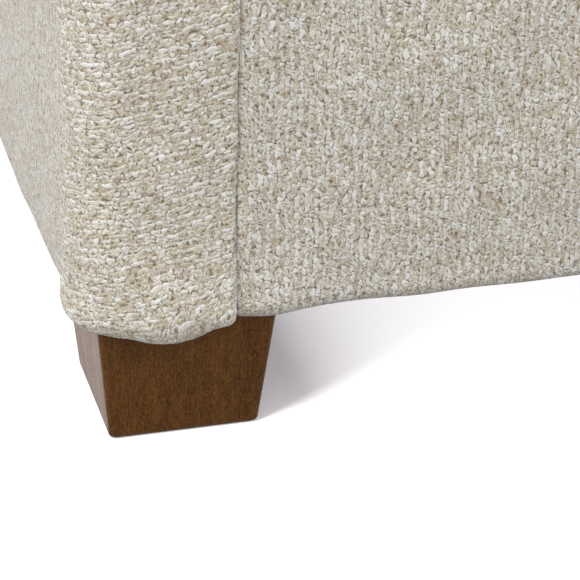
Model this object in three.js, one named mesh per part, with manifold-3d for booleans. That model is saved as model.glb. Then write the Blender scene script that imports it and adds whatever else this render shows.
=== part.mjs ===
// An upholstered rectangular ottoman with storage under a hinged, padded lid.
//
// Millimetres, +Z up, the front faces -Y. The origin is on the floor under the middle.
// A plywood box stands on four tapered block feet. It is padded and covered in eight
// sewn panels, lined inside, and closed by a padded lid on a continuous hinge, which two
// folding stays hold open.
import * as THREE from "three";
import { mergeVertices } from "three/addons/utils/BufferGeometryUtils.js";
import Module from "manifold-3d";

const wasm = await Module();
wasm.setup();

// ---- Driving dimensions ----------------------------------------------------------

const length = 1060; // over the covers, left to right
const depth = 680; // over the covers, front to back
const cornerRadius = 24; // upright corners of the covers
const innerCorner = 0.6; // upright corners that are left nearly square inside the box
const cornerSteps = 5;
const boreSteps = 16; // sides of a bored hole or a turned fixing
const fit = 0.3; // gap between two pieces that touch

const footHeight = 76;
const footBottom = 70; // side of the square that stands on the floor
const footSplay = 0.104; // lean of each side, outward per unit of height
const footInset = 52; // from the covers' faces to the middle of the foot
const footEdge = 2.5; // rounding of the foot's edges
const footPocketGap = 0.4; // between a foot and the upholstery round its top

const boltRadius = 4;
const boltInFoot = 36; // depth of the hole for the hanger bolt's wood thread
const boltEndGap = 2; // left empty below the bolt's point
const boltPointRadius = 2.2;
const boltPoint = 4; // height of its point, then of its taper
const boltTaper = 5;
const boltDomeRadius = 2.8;
const boltDome = 1.2; // height of the domed end
const tNutBarrel = 5.2; // outer radius
const tNutFlange = 11;
const tNutPlate = 1.6; // thickness of the flange
const tNutLength = 14;

const panelThickness = 15;
const frameHeight = 250; // height of the four side panels
const batten = 30; // height of the corner blocks and of the battens under the floor
const battenWidth = 25;
const blockSize = 100; // side of a corner block
const blockChamfer = 45; // its inner corner, cut off at 45 degrees
const stretcherWidth = 60;
const floorThickness = 9;
const liningThickness = 1.5;
const dustCoverThickness = 0.8;
const dustCoverInset = 25; // from the covers' faces to its hemmed edge

const coverThickness = 3;
const padThickness = 9.4;
const hemDrop = 9.3; // how far the padded hem hangs below the frame
const hemRadius = 10;
const hemReturn = 42; // from the covers' faces to the stapled edge under the frame
const rimRadius = 14; // outer edge of the rim that the lid closes on
const mouthRadius = 4; // inner edge of the rim
const rimTurn = 25; // how far the covers turn down inside the box
const frontSeam = 71; // from the corner to the seam on the front and the back
const sideSeam = 35; // from the corner to the seam on the two ends
const seamGap = 0.3;

const leafThickness = 1.4;
const leafGap = 1; // between the two leaves of the closed hinge
const leafWidth = 30;
const leafScrewRow = 14; // from the leaf's free edge to its row of screws
const hingeLength = 900;
const knuckleCount = 20;
const knuckleRadius = 3.2;
const knuckleSteps = 12; // sides of the knuckles and the pin
const knuckleGap = 0.4; // between neighbouring knuckles, and round them
const hingePinRadius = 1.3;
const hingePinGap = 0.08; // running clearance of the pin in the knuckles
const hingeAxisInset = 3.5; // from the covers' back face to the hinge's axis
const screwRadius = 2.2; // of the screw holes in the steel pieces
const screwSteps = 12;
const leafScrews = 9;

const lidThickness = 126;
const lidBoardThickness = 12;
const lidBoardInset = 13;
const lidEdge = 14; // rounding of the lid's lower edge
const lidShoulder = 26; // rounding of its upper edge
const lidSeamDrop = 30; // from the lid's top to the seam round its top panel
const lidReturn = 45; // from the covers' faces to the stapled edge under the lid
const lidLiningInset = 36;
const bumperRadius = 8;
const bumperInset = 20;
const bumperEdge = 1;
const lidOpening = 105; // degrees

const stayBarWidth = 16;
const stayBarThickness = 2.5;
const stayPlate = 2; // thickness of the two brackets' steel
const stayPin = 3; // radius of the rivets
const stayPinGap = 0.2; // running clearance of an arm on its rivet
const stayHeadRadius = 6;
const stayHead = 1.3; // thickness of a rivet's head
const stayLayerGap = 0.8; // between two arms that pass each other
const stayWallPivot = [68, 120]; // forward of and below the hinge's axis
const stayLidPivot = [230, 14]; // forward of and below the hinge's axis, lid closed
const stayPivotSteps = 16; // sides of the rivets and their holes
const stayEndSteps = 10; // sides of an arm's round end
const stayStop = [5, 13]; // where the stop tab starts and ends, from the elbow
const stayStopGap = 0.4; // between the tab and the arm that it stops
const stayFoot = [24, 64]; // the wall bracket's width and height
const stayFootCorner = 5;
const stayFlange = [22, 50]; // the lid bracket's width and length
const stayEarMargin = 1; // of the lid bracket's ear beyond an arm's round end
const stayScrewEdge = 10; // from a bracket's end to its screw hole

// ---- Levels and layers that follow from them -------------------------------------

const frameBottom = footHeight + fit;
const frameTop = frameBottom + frameHeight;
const rimTop = frameTop + fit + coverThickness;
const hemBottom = frameBottom - hemDrop;
const floorBottom = frameBottom + batten + fit;
const floorTop = floorBottom + floorThickness;

const padOuter = coverThickness + fit;
const padInner = padOuter + padThickness;
const panelOuter = padInner + fit;
const panelInner = panelOuter + panelThickness;
const liningOuter = panelInner + fit;
const liningInner = liningOuter + liningThickness;

const hingeZ = rimTop + fit + leafThickness + leafGap / 2;
const hingeY = depth / 2 - hingeAxisInset;
const lidBottom = hingeZ + leafGap / 2 + leafThickness + fit;
const lidTop = lidBottom + lidThickness;
const lidBoardBottom = lidBottom + coverThickness + fit;
const lidBoardTop = lidBoardBottom + lidBoardThickness;
const lidSeamZ = lidTop - lidSeamDrop;

const footX = length / 2 - footInset;
const footY = depth / 2 - footInset;
const footTopHalf = footBottom / 2 + footSplay * footHeight;

const corners = [
  ["front_left", -1, -1],
  ["front_right", 1, -1],
  ["back_left", -1, 1],
  ["back_right", 1, 1],
];
const sides = [
  ["left", -1],
  ["right", 1],
];

// ---- Materials -------------------------------------------------------------------

function finish(color, roughness, metalness = 0) {
  return new THREE.MeshStandardMaterial({ color, roughness, metalness });
}

const tweed = finish("#c9c2b2", 0.95);
const walnut = finish("#5a3922", 0.4);
const plywood = finish("#cfae7d", 0.7);
const pine = finish("#d9bd8c", 0.75);
const wadding = finish("#f0eee6", 0.95);
const foam = finish("#e9dfb8", 0.95);
const liningCloth = finish("#8d867a", 0.9);
const cambric = finish("#23221f", 0.95);
const zinc = finish("#b9bcbe", 0.35, 0.9);
const blackSteel = finish("#2b2c2e", 0.45, 0.6);
const rubber = finish("#1d1d1d", 0.85);

// ---- Making and cutting solids ---------------------------------------------------

const model = new THREE.Group();

function piece(name, geometry, material, parent = model) {
  geometry.computeVertexNormals();
  const mesh = new THREE.Mesh(geometry, material);
  mesh.name = name;
  parent.add(mesh);
  return mesh;
}

function toSolid(geometry) {
  const bare = geometry.index ? geometry.toNonIndexed() : geometry.clone();
  bare.deleteAttribute("normal");
  bare.deleteAttribute("uv");
  const merged = mergeVertices(bare, 1e-4);
  const mesh = new wasm.Mesh({
    numProp: 3,
    vertProperties: merged.attributes.position.array,
    triVerts: new Uint32Array(merged.index.array),
  });
  return new wasm.Manifold(mesh);
}

function toGeometry(solid) {
  const mesh = solid.getMesh();
  const geometry = new THREE.BufferGeometry();
  geometry.setAttribute("position", new THREE.BufferAttribute(mesh.vertProperties, 3));
  geometry.setIndex(new THREE.BufferAttribute(mesh.triVerts, 1));
  return geometry;
}

function block(x0, x1, y0, y1, z0, z1) {
  const geometry = new THREE.BoxGeometry(x1 - x0, y1 - y0, z1 - z0);
  return geometry.translate((x0 + x1) / 2, (y0 + y1) / 2, (z0 + z1) / 2);
}

// A rectangle round the origin with round corners, anticlockwise.
function roundedRectangle(halfX, halfY, radius, steps = cornerSteps) {
  const points = [];
  const quarters = [[1, 1], [-1, 1], [-1, -1], [1, -1]];
  quarters.forEach(([sx, sy], quarter) => {
    for (let i = 0; i <= steps; i++) {
      const angle = (Math.PI / 2) * (quarter + i / steps);
      const x = sx * (halfX - radius) + radius * Math.cos(angle);
      const y = sy * (halfY - radius) + radius * Math.sin(angle);
      points.push(new THREE.Vector2(x, y));
    }
  });
  return points;
}

function roundedLoop(halfX, halfY, radius, z, steps) {
  const outline = roundedRectangle(halfX, halfY, radius, steps);
  return outline.map(({ x, y }) => new THREE.Vector3(x, y, z));
}

// The outline of one layer of the upholstered box: inset from the covers' faces, with
// the corner radius that keeps the layers parallel round the corners.
function layerLoop(inset, z) {
  const radius = Math.max(cornerRadius - inset, innerCorner);
  return roundedLoop(length / 2 - inset, depth / 2 - inset, radius, z);
}

// Skins a run of loops. A ring joins the last loop to the first; otherwise the first
// and the last are closed by flat ends. Loops run upwards on the outer side.
function skin(loops, isRing) {
  const around = loops[0].length;
  const positions = loops.flat().flatMap((p) => [p.x, p.y, p.z]);
  const index = [];
  const spans = isRing ? loops.length : loops.length - 1;
  for (let i = 0; i < spans; i++) {
    const low = i * around;
    const high = ((i + 1) % loops.length) * around;
    for (let j = 0; j < around; j++) {
      const next = (j + 1) % around;
      index.push(low + j, low + next, high + next);
      index.push(low + j, high + next, high + j);
    }
  }
  if (!isRing) {
    const last = (loops.length - 1) * around;
    for (let j = 1; j < around - 1; j++) {
      index.push(0, j + 1, j);
      index.push(last, last + j, last + j + 1);
    }
  }
  const geometry = new THREE.BufferGeometry();
  geometry.setAttribute("position", new THREE.Float32BufferAttribute(positions, 3));
  geometry.setIndex(index);
  return geometry;
}

// A band round the box from its closed section, a list of [inset, z].
function band(section) {
  return skin(section.map(([inset, z]) => layerLoop(inset, z)), true);
}

// A solid that fills the box from its outer section, a list of [inset, z] going up.
function filled(section) {
  return skin(section.map(([inset, z]) => layerLoop(inset, z)), false);
}

// Points of an arc in the [inset, z] plane; 180 degrees points at the covers' face.
function arc(centreInset, centreZ, radius, from, to, steps = 5) {
  const points = [];
  for (let i = 0; i <= steps; i++) {
    const angle = THREE.MathUtils.degToRad(from + ((to - from) * i) / steps);
    points.push([centreInset + radius * Math.cos(angle), centreZ + radius * Math.sin(angle)]);
  }
  return points;
}

function circle(x, y, radius, steps = boreSteps) {
  const path = new THREE.Path();
  path.setFromPoints(
    Array.from({ length: steps }, (_, i) => {
      const angle = (2 * Math.PI * i) / steps;
      return new THREE.Vector2(x + radius * Math.cos(angle), y + radius * Math.sin(angle));
    }),
  );
  return path;
}

function disc(x, y, radius, steps) {
  return new THREE.Shape(circle(x, y, radius, steps).getPoints());
}

function extrude(shape, height) {
  return new THREE.ExtrudeGeometry(shape, { depth: height, bevelEnabled: false });
}

// Extrudes a shape drawn in the upright Y-Z plane along X, from x0 to x1.
const yzToWorld = new THREE.Matrix4().set(0, 0, 1, 0, 1, 0, 0, 0, 0, 1, 0, 0, 0, 0, 0, 1);
function extrudeAcross(shape, x0, x1) {
  const geometry = extrude(shape, Math.abs(x1 - x0));
  return geometry.applyMatrix4(yzToWorld).translate(Math.min(x0, x1), 0, 0);
}

function turned(profile) {
  const points = profile.map(([radius, z]) => new THREE.Vector2(radius, z));
  return new THREE.LatheGeometry(points, boreSteps).rotateX(Math.PI / 2);
}

// ---- Feet and their fixings ------------------------------------------------------

function footBlock() {
  const loops = [];
  const edgeSteps = 3;
  for (let i = 0; i <= edgeSteps; i++) {
    const angle = ((Math.PI / 2) * i) / edgeSteps;
    const z = footEdge * (1 - Math.cos(angle));
    const half = footBottom / 2 + footSplay * z - footEdge * (1 - Math.sin(angle));
    loops.push(roundedLoop(half, half, footEdge, z, edgeSteps));
  }
  loops.push(roundedLoop(footTopHalf, footTopHalf, footEdge, footHeight, edgeSteps));
  const hole = extrude(disc(0, 0, boltRadius + fit), boltInFoot + 1);
  hole.translate(0, 0, footHeight - boltInFoot);
  return toGeometry(toSolid(skin(loops, false)).subtract(toSolid(hole)));
}

// A hanger bolt: wood thread with a point below, machine thread with a domed end above.
function hangerBolt() {
  const bottom = footHeight - boltInFoot + boltEndGap;
  const top = frameBottom + batten - fit;
  return turned([
    [0, bottom],
    [boltPointRadius, bottom + boltPoint],
    [boltRadius, bottom + boltPoint + boltTaper],
    [boltRadius, top - boltDome],
    [boltDomeRadius, top],
    [0, top],
  ]);
}

function tNut() {
  const top = frameBottom + batten;
  const bore = boltRadius + fit;
  return turned([
    [bore, top - tNutLength],
    [tNutBarrel, top - tNutLength],
    [tNutBarrel, top - tNutPlate],
    [tNutFlange, top - tNutPlate],
    [tNutFlange, top],
    [bore, top],
    [bore, top - tNutLength],
  ]);
}

// A glued block in the frame's corner, bored for the foot's bolt and its tee nut.
function cornerBlock(sx, sy) {
  const near = liningOuter;
  const far = near + blockSize;
  const cut = far - blockChamfer;
  const outline = [[near, near], [far, near], [far, cut], [cut, far], [near, far]];
  const shape = new THREE.Shape(
    outline.map(([u, v]) => new THREE.Vector2(sx * (length / 2 - u), sy * (depth / 2 - v))),
  );
  const bore = tNutBarrel + fit;
  const top = frameBottom + batten;
  const hole = extrude(disc(sx * footX, sy * footY, bore), batten + 2);
  hole.translate(0, 0, frameBottom - 1);
  const counterbore = extrude(disc(sx * footX, sy * footY, tNutFlange + fit), batten);
  counterbore.translate(0, 0, top - tNutPlate - fit);
  const blank = extrude(shape, batten).translate(0, 0, frameBottom);
  return toGeometry(toSolid(blank).subtract(toSolid(hole)).subtract(toSolid(counterbore)));
}

for (const [place, sx, sy] of corners) {
  const centre = [sx * footX, sy * footY, 0];
  piece("foot_" + place, footBlock(), walnut).position.set(...centre);
  piece("hanger_bolt_" + place, hangerBolt(), zinc).position.set(...centre);
  piece("t_nut_" + place, tNut(), zinc).position.set(...centre);
  piece("corner_block_" + place, cornerBlock(sx, sy), pine);
}

// ---- The plywood box -------------------------------------------------------------

const frameBand = toSolid(
  band([
    [panelOuter, frameBottom],
    [panelOuter, frameTop],
    [panelInner, frameTop],
    [panelInner, frameBottom],
  ]),
);

// Long panels run through to the corners; short ones stand between them.
function cutBand(solid, x0, x1, y0, y1) {
  const far = length + depth;
  return toGeometry(solid.intersect(toSolid(block(x0, x1, y0, y1, -far, far))));
}

function longStrip(solid, sy, inset, gap) {
  const edge = depth / 2 - inset + gap / 2;
  const [y0, y1] = sy < 0 ? [-depth, -edge] : [edge, depth];
  return cutBand(solid, -length, length, y0, y1);
}

function shortStrip(solid, sx, inset, gap) {
  const edge = depth / 2 - inset - gap / 2;
  const [x0, x1] = sx < 0 ? [-length, 0] : [0, length];
  return cutBand(solid, x0, x1, -edge, edge);
}

piece("panel_front", longStrip(frameBand, -1, panelInner, fit), plywood);
piece("panel_back", longStrip(frameBand, 1, panelInner, fit), plywood);
piece("panel_left", shortStrip(frameBand, -1, panelInner, fit), plywood);
piece("panel_right", shortStrip(frameBand, 1, panelInner, fit), plywood);

const battenEnd = liningOuter + blockSize + fit;
for (const [place, sy] of [["front", -1], ["back", 1]]) {
  const outer = sy * (depth / 2 - liningOuter);
  const inner = outer - sy * battenWidth;
  const x = length / 2 - battenEnd;
  const [y0, y1] = [Math.min(outer, inner), Math.max(outer, inner)];
  piece("batten_" + place, block(-x, x, y0, y1, frameBottom, frameBottom + batten), pine);
}
for (const [place, sx] of sides) {
  const outer = sx * (length / 2 - liningOuter);
  const inner = outer - sx * battenWidth;
  const y = depth / 2 - battenEnd;
  const [x0, x1] = [Math.min(outer, inner), Math.max(outer, inner)];
  piece("batten_" + place, block(x0, x1, -y, y, frameBottom, frameBottom + batten), pine);
}

const stretcherY = depth / 2 - liningOuter - battenWidth - fit;
const stretcherX = stretcherWidth / 2;
const stretcherTop = frameBottom + batten;
piece(
  "floor_stretcher",
  block(-stretcherX, stretcherX, -stretcherY, stretcherY, frameBottom, stretcherTop),
  pine,
);

piece("floor_board", filled([[liningOuter, floorBottom], [liningOuter, floorTop]]), plywood);

// ---- Lining of the storage space and dust cover below ----------------------------

const liningTop = frameTop - rimTurn - fit;
const liningFloor = floorTop + fit;
const liningShell = toSolid(filled([[liningOuter, liningFloor], [liningOuter, liningTop]]));
const liningHollow = toSolid(
  filled([[liningInner, liningFloor + liningThickness], [liningInner, liningTop + 1]]),
);
piece("storage_lining", toGeometry(liningShell.subtract(liningHollow)), liningCloth);

// The dust cover is cut away round the feet.
function dustCover() {
  const notch = footInset + footTopHalf + footPocketGap;
  const [x, y] = [length / 2 - dustCoverInset, depth / 2 - dustCoverInset];
  const [nx, ny] = [length / 2 - notch, depth / 2 - notch];
  const outline = [
    [nx, -y], [nx, -ny], [x, -ny], [x, ny], [nx, ny], [nx, y],
    [-nx, y], [-nx, ny], [-x, ny], [-x, -ny], [-nx, -ny], [-nx, -y],
  ];
  const shape = new THREE.Shape(outline.map(([u, v]) => new THREE.Vector2(u, v)));
  const top = frameBottom - coverThickness - 2 * fit;
  return extrude(shape, dustCoverThickness).translate(0, 0, top - dustCoverThickness);
}
piece("dust_cover", dustCover(), cambric);

// ---- Wadding and covers ----------------------------------------------------------

// Room for the top of each foot, which is pressed up into the padded hem.
function footPockets() {
  const half = footTopHalf + footPocketGap;
  const pockets = corners.map(([, sx, sy]) => {
    const [x, y] = [sx * footX, sy * footY];
    const top = footHeight + footPocketGap;
    return toSolid(block(x - half, x + half, y - half, y + half, -1, top));
  });
  return pockets.reduce((all, pocket) => all.add(pocket));
}
const pockets = footPockets();

const hemCentreZ = hemBottom + hemRadius;
const padHem = hemRadius - padOuter;
const padHemEnd = -THREE.MathUtils.radToDeg(Math.acos((padInner - hemRadius) / padHem));
const padRimCentre = rimTop - rimRadius;
const padRim = rimRadius - padOuter;
const padRimEnd = THREE.MathUtils.radToDeg(Math.acos((padInner - rimRadius) / padRim));
const padBand = toSolid(
  band([
    ...arc(hemRadius, hemCentreZ, padHem, padHemEnd, -180),
    ...arc(rimRadius, padRimCentre, padRim, 180, padRimEnd),
  ]),
).subtract(pockets);

piece("wadding_front", longStrip(padBand, -1, panelOuter, fit), wadding);
piece("wadding_back", longStrip(padBand, 1, panelOuter, fit), wadding);
piece("wadding_left", shortStrip(padBand, -1, panelOuter, fit), wadding);
piece("wadding_right", shortStrip(padBand, 1, panelOuter, fit), wadding);

// The covers' section: stapled under the frame, round the hem, up the face, over the
// rim and down inside. The second half is the back of the cloth, one thickness inside.
function coverSection() {
  const inHem = hemRadius - coverThickness;
  const inRim = rimRadius - coverThickness;
  const returnTop = frameBottom - fit;
  const returnBottom = returnTop - coverThickness;
  const drop = (z, radius) => THREE.MathUtils.radToDeg(Math.asin((z - hemCentreZ) / radius));
  const mouth = liningOuter + coverThickness;
  const mouthCentre = mouth - mouthRadius;
  const turnBottom = frameTop - rimTurn;
  return [
    [hemReturn, returnBottom],
    ...arc(hemRadius, hemCentreZ, hemRadius, drop(returnBottom, hemRadius), -180, 7),
    ...arc(rimRadius, padRimCentre, rimRadius, 180, 90),
    ...arc(mouthCentre, rimTop - mouthRadius, mouthRadius, 90, 0, 3),
    [mouth, turnBottom],
    [liningOuter, turnBottom],
    [liningOuter, rimTop - coverThickness],
    ...arc(rimRadius, padRimCentre, inRim, 90, 180),
    ...arc(hemRadius, hemCentreZ, inHem, -180, drop(returnTop, inHem), 7),
    [hemReturn, returnTop],
  ];
}
const coverBand = toSolid(band(coverSection())).subtract(pockets);

const seamX = length / 2 - frontSeam;
const seamY = depth / 2 - sideSeam;
const halfSeam = seamGap / 2;

const inside = hemReturn + 1; // inset that clears the covers' stapled edges
for (const [place, sy] of [["front", -1], ["back", 1]]) {
  const x = seamX - halfSeam;
  const y = depth / 2 - inside;
  const [y0, y1] = sy < 0 ? [-depth, -y] : [y, depth];
  piece("cover_" + place, cutBand(coverBand, -x, x, y0, y1), tweed);
}
for (const [place, sx] of sides) {
  const x = length / 2 - inside;
  const y = seamY - halfSeam;
  const [x0, x1] = sx < 0 ? [-length, -x] : [x, length];
  piece("cover_" + place, cutBand(coverBand, x0, x1, -y, y), tweed);
}
for (const [place, sx, sy] of corners) {
  const [x, y] = [seamX + halfSeam, seamY + halfSeam];
  const [x0, x1] = sx < 0 ? [-length, -x] : [x, length];
  const [y0, y1] = sy < 0 ? [-depth, -y] : [y, depth];
  piece("cover_corner_" + place, cutBand(coverBand, x0, x1, y0, y1), tweed);
}

// ---- Lid -------------------------------------------------------------------------

const lid = new THREE.Group();
model.add(lid);

const lidEdgeCentre = lidBottom + lidEdge;
const lidShoulderCentre = lidTop - lidShoulder;

// Everything inside a cloth of the given thickness on the lid, as an outer section.
function lidSection(thickness) {
  return [
    ...arc(lidEdge, lidEdgeCentre, lidEdge - thickness, -90, -180),
    ...arc(lidShoulder, lidShoulderCentre, lidShoulder - thickness, 180, 90, 6),
  ];
}

function lidShell() {
  const outside = toSolid(filled(lidSection(0)));
  const inside = toSolid(filled(lidSection(coverThickness)));
  const opening = toSolid(filled([[lidReturn, lidBottom - 1], [lidReturn, lidBoardTop]]));
  return outside.subtract(inside).subtract(opening);
}

function lidSlice(solid, z0, z1) {
  const slice = toSolid(block(-length, length, -depth, depth, z0, z1));
  return toGeometry(solid.intersect(slice));
}

const shell = lidShell();
const boxingTop = lidSeamZ - halfSeam;
piece("lid_cover_boxing", lidSlice(shell, 0, boxingTop), tweed, lid);
piece("lid_cover_top", lidSlice(shell, lidSeamZ + halfSeam, lidTop + 1), tweed, lid);

const lidBoardSection = [[lidBoardInset, lidBoardBottom], [lidBoardInset, lidBoardTop]];
piece("lid_board", filled(lidBoardSection), plywood, lid);

function lidFoam() {
  const whole = toSolid(filled(lidSection(coverThickness + fit)));
  const inset = lidBoardInset - fit;
  const below = lidBottom;
  const room = toSolid(filled([[inset, below], [inset, lidBoardTop + fit]]));
  return toGeometry(whole.subtract(room));
}
piece("lid_foam", lidFoam(), foam, lid);

const lidLiningTop = lidBottom - fit;
const lidLiningBottom = lidLiningTop - liningThickness;
const lidLiningSection = [[lidLiningInset, lidLiningBottom], [lidLiningInset, lidLiningTop]];
piece("lid_lining", filled(lidLiningSection), liningCloth, lid);

// Bumpers under the lid's front edge, which rest on the rim.
function bumper() {
  const [bottom, top] = [rimTop + fit, lidBottom - fit];
  return turned([
    [0, bottom],
    [bumperRadius - bumperEdge, bottom],
    [bumperRadius, bottom + bumperEdge],
    [bumperRadius, top],
    [0, top],
  ]);
}
for (const [place, side] of sides) {
  const x = side * (seamX - bumperRadius);
  piece("lid_bumper_" + place, bumper(), rubber, lid).position.set(x, bumperInset - depth / 2, 0);
}

// ---- Continuous hinge ------------------------------------------------------------

// One leaf: a punched strip with every second knuckle. The box's leaf lies below the
// axis and the lid's above it; up is -1 or 1, and first is 0 or 1.
function hingeLeaf(up, first) {
  const near = hingeZ + (up * leafGap) / 2;
  const far = near + up * leafThickness;
  const [z0, z1] = [Math.min(near, far), Math.max(near, far)];
  const edge = hingeY - knuckleRadius - knuckleGap;
  const freeEdge = edge - leafWidth + knuckleRadius;
  const half = hingeLength / 2;
  let leaf = toSolid(block(-half, half, freeEdge, edge, z0, z1));

  const pitch = hingeLength / knuckleCount;
  const bore = hingePinRadius + hingePinGap;
  const wall = (knuckleRadius + bore) / 2;
  const ring = disc(hingeY, hingeZ, knuckleRadius, knuckleSteps);
  ring.holes.push(circle(hingeY, hingeZ, bore, knuckleSteps));
  for (let i = first; i < knuckleCount; i += 2) {
    const x0 = -half + pitch * i + knuckleGap / 2;
    const x1 = x0 + pitch - knuckleGap;
    leaf = leaf.add(toSolid(extrudeAcross(ring, x0, x1)));
    leaf = leaf.add(toSolid(block(x0, x1, edge - 1, hingeY - wall, z0, z1)));
  }

  for (let i = 0; i < leafScrews; i++) {
    const x = (i - (leafScrews - 1) / 2) * (hingeLength / leafScrews);
    const outline = disc(x, freeEdge + leafScrewRow, screwRadius, screwSteps);
    const hole = extrude(outline, 3 * leafThickness).translate(0, 0, z0 - leafThickness);
    leaf = leaf.subtract(toSolid(hole));
  }
  return toGeometry(leaf);
}
piece("hinge_leaf_box", hingeLeaf(-1, 0), zinc);
piece("hinge_leaf_lid", hingeLeaf(1, 1), zinc, lid);
const pinEnd = hingeLength / 2;
const pinSection = disc(hingeY, hingeZ, hingePinRadius, knuckleSteps);
piece("hinge_pin", extrudeAcross(pinSection, -pinEnd, pinEnd), zinc);

// ---- Folding lid stays -----------------------------------------------------------

// Each stay is a parallelogram with the hinge's axis as its fourth corner: the lower
// arm stays parallel to the lid and the upper arm to the line from the wall pivot to
// the axis. Points are [y, z] in the plane of the stay.
const wallPivot = [hingeY - stayWallPivot[0], hingeZ - stayWallPivot[1]];
const lidPivot = [hingeY - stayLidPivot[0], hingeZ - stayLidPivot[1]];
const elbow = [wallPivot[0] - stayLidPivot[0], wallPivot[1] - stayLidPivot[1]];

// Distances of the layers from the lining of the end wall.
const plateFrom = fit;
const plateTo = plateFrom + stayPlate;
const lowerFrom = plateTo + stayLayerGap;
const lowerTo = lowerFrom + stayBarThickness;
const upperFrom = lowerTo + stayLayerGap;
const upperTo = upperFrom + stayBarThickness;
const earFrom = upperTo + stayLayerGap;
const earTo = earFrom + stayPlate;

function across(side, shape, from, to) {
  const wall = length / 2 - liningInner;
  return toSolid(extrudeAcross(shape, side * (wall - from), side * (wall - to)));
}

// A flat bar with round ends, from one pivot to another.
function barShape(a, b) {
  const radius = stayBarWidth / 2;
  const angle = Math.atan2(b[1] - a[1], b[0] - a[0]);
  const points = [];
  for (const [centre, start] of [[b, angle - Math.PI / 2], [a, angle + Math.PI / 2]]) {
    for (let i = 0; i <= stayEndSteps; i++) {
      const turn = start + (Math.PI * i) / stayEndSteps;
      const y = centre[0] + radius * Math.cos(turn);
      const z = centre[1] + radius * Math.sin(turn);
      points.push(new THREE.Vector2(y, z));
    }
  }
  return new THREE.Shape(points);
}

function pinHole(point) {
  return circle(point[0], point[1], stayPin + stayPinGap, stayPivotSteps);
}

function pinDisc(point, radius) {
  return disc(point[0], point[1], radius, stayPivotSteps);
}

// A rivet that stands on one layer, passes through an arm and ends in a head. The
// shoulder keeps the arm off the layer that carries it.
function rivet(side, point, base, armFrom, armTo) {
  const inward = Math.sign(armFrom - base);
  const headFrom = armTo + inward * fit;
  const headTo = headFrom + inward * stayHead;
  const wide = pinDisc(point, stayHeadRadius);
  const shaft = across(side, pinDisc(point, stayPin), base - inward, headTo);
  const shoulder = across(side, wide, base - inward, armFrom - inward * fit);
  const head = across(side, wide, headFrom, headTo);
  return shaft.add(shoulder).add(head);
}

function wallBracket(side) {
  const [width, height] = stayFoot;
  const [y, z] = wallPivot;
  const outline = roundedRectangle(width / 2, height / 2, stayFootCorner);
  const shape = new THREE.Shape(outline.map((p) => p.add(new THREE.Vector2(y, z))));
  const screwZ = height / 2 - stayScrewEdge;
  for (const screw of [z + screwZ, z - screwZ]) {
    shape.holes.push(circle(y, screw, screwRadius, screwSteps));
  }
  const plate = across(side, shape, plateFrom, plateTo);
  return toGeometry(plate.add(rivet(side, wallPivot, plateTo, lowerFrom, lowerTo)));
}

// A lug on the lower arm's end with a tab bent up at its edge. The upper arm's edge
// meets the tab when the lid is fully open. Both are drawn along the upper arm's
// direction at that opening, as the lower arm sees it.
function elbowStop(side) {
  const open = THREE.MathUtils.degToRad(lidOpening);
  const along = new THREE.Vector2(lidPivot[0] - elbow[0], lidPivot[1] - elbow[1]);
  along.normalize().rotateAround(new THREE.Vector2(), open);
  const beside = new THREE.Vector2(-along.y, along.x);
  const at = (u, v) => {
    return new THREE.Vector2(...elbow).addScaledVector(along, u).addScaledVector(beside, v);
  };
  const strip = (v0, v1) => {
    const [u0, u1] = stayStop;
    return new THREE.Shape([at(u0, v0), at(u1, v0), at(u1, v1), at(u0, v1)]);
  };
  const tabFrom = stayBarWidth / 2 + stayStopGap;
  const tabTo = tabFrom + stayBarThickness;
  const lug = across(side, strip(0, tabTo), lowerFrom, lowerTo);
  return lug.add(across(side, strip(tabFrom, tabTo), lowerFrom, upperTo));
}

function lowerArm(side) {
  const shape = barShape(elbow, wallPivot);
  shape.holes.push(pinHole(wallPivot));
  const bar = across(side, shape, lowerFrom, lowerTo).add(elbowStop(side));
  return toGeometry(bar.add(rivet(side, elbow, lowerTo, upperFrom, upperTo)));
}

function upperArm(side) {
  const shape = barShape(elbow, lidPivot);
  shape.holes.push(pinHole(elbow), pinHole(lidPivot));
  return toGeometry(across(side, shape, upperFrom, upperTo));
}

// The lid's bracket: a flange under the lining and an ear that carries the last rivet.
function lidBracket(side) {
  const [width, flangeLength] = stayFlange;
  const flangeTop = lidLiningBottom - fit;
  const flangeBottom = flangeTop - stayPlate;
  const [y, z] = lidPivot;
  const half = flangeLength / 2;
  const radius = stayBarWidth / 2 + stayEarMargin;
  const earCorner = flangeBottom - stayEarMargin;
  const points = [new THREE.Vector2(y + half, flangeTop), new THREE.Vector2(y - half, flangeTop)];
  points.push(new THREE.Vector2(y - half, earCorner));
  for (let i = 0; i <= stayEndSteps; i++) {
    const angle = Math.PI + (Math.PI * i) / stayEndSteps;
    points.push(new THREE.Vector2(y + radius * Math.cos(angle), z + radius * Math.sin(angle)));
  }
  points.push(new THREE.Vector2(y + half, earCorner));
  const upright = across(side, new THREE.Shape(points), earFrom, earTo);

  const wall = length / 2 - liningInner;
  const [xa, xb] = [side * (wall - earFrom), side * (wall - earFrom - width)];
  const [x0, x1] = [Math.min(xa, xb), Math.max(xa, xb)];
  let flange = toSolid(block(x0, x1, y - half, y + half, flangeBottom, flangeTop));
  for (const end of [-1, 1]) {
    const screwY = y + end * (half - stayScrewEdge);
    const outline = disc((x0 + x1) / 2, screwY, screwRadius, screwSteps);
    const hole = extrude(outline, 3 * stayPlate).translate(0, 0, flangeBottom - stayPlate);
    flange = flange.subtract(toSolid(hole));
  }
  return toGeometry(upright.add(flange).add(rivet(side, lidPivot, earFrom, upperTo, upperFrom)));
}

for (const [place, side] of sides) {
  piece(place + "_stay_wall_bracket", wallBracket(side), blackSteel);
  piece(place + "_stay_lower_arm", lowerArm(side), blackSteel);
  piece(place + "_stay_upper_arm", upperArm(side), blackSteel);
  piece(place + "_stay_lid_bracket", lidBracket(side), blackSteel, lid);
}

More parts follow.
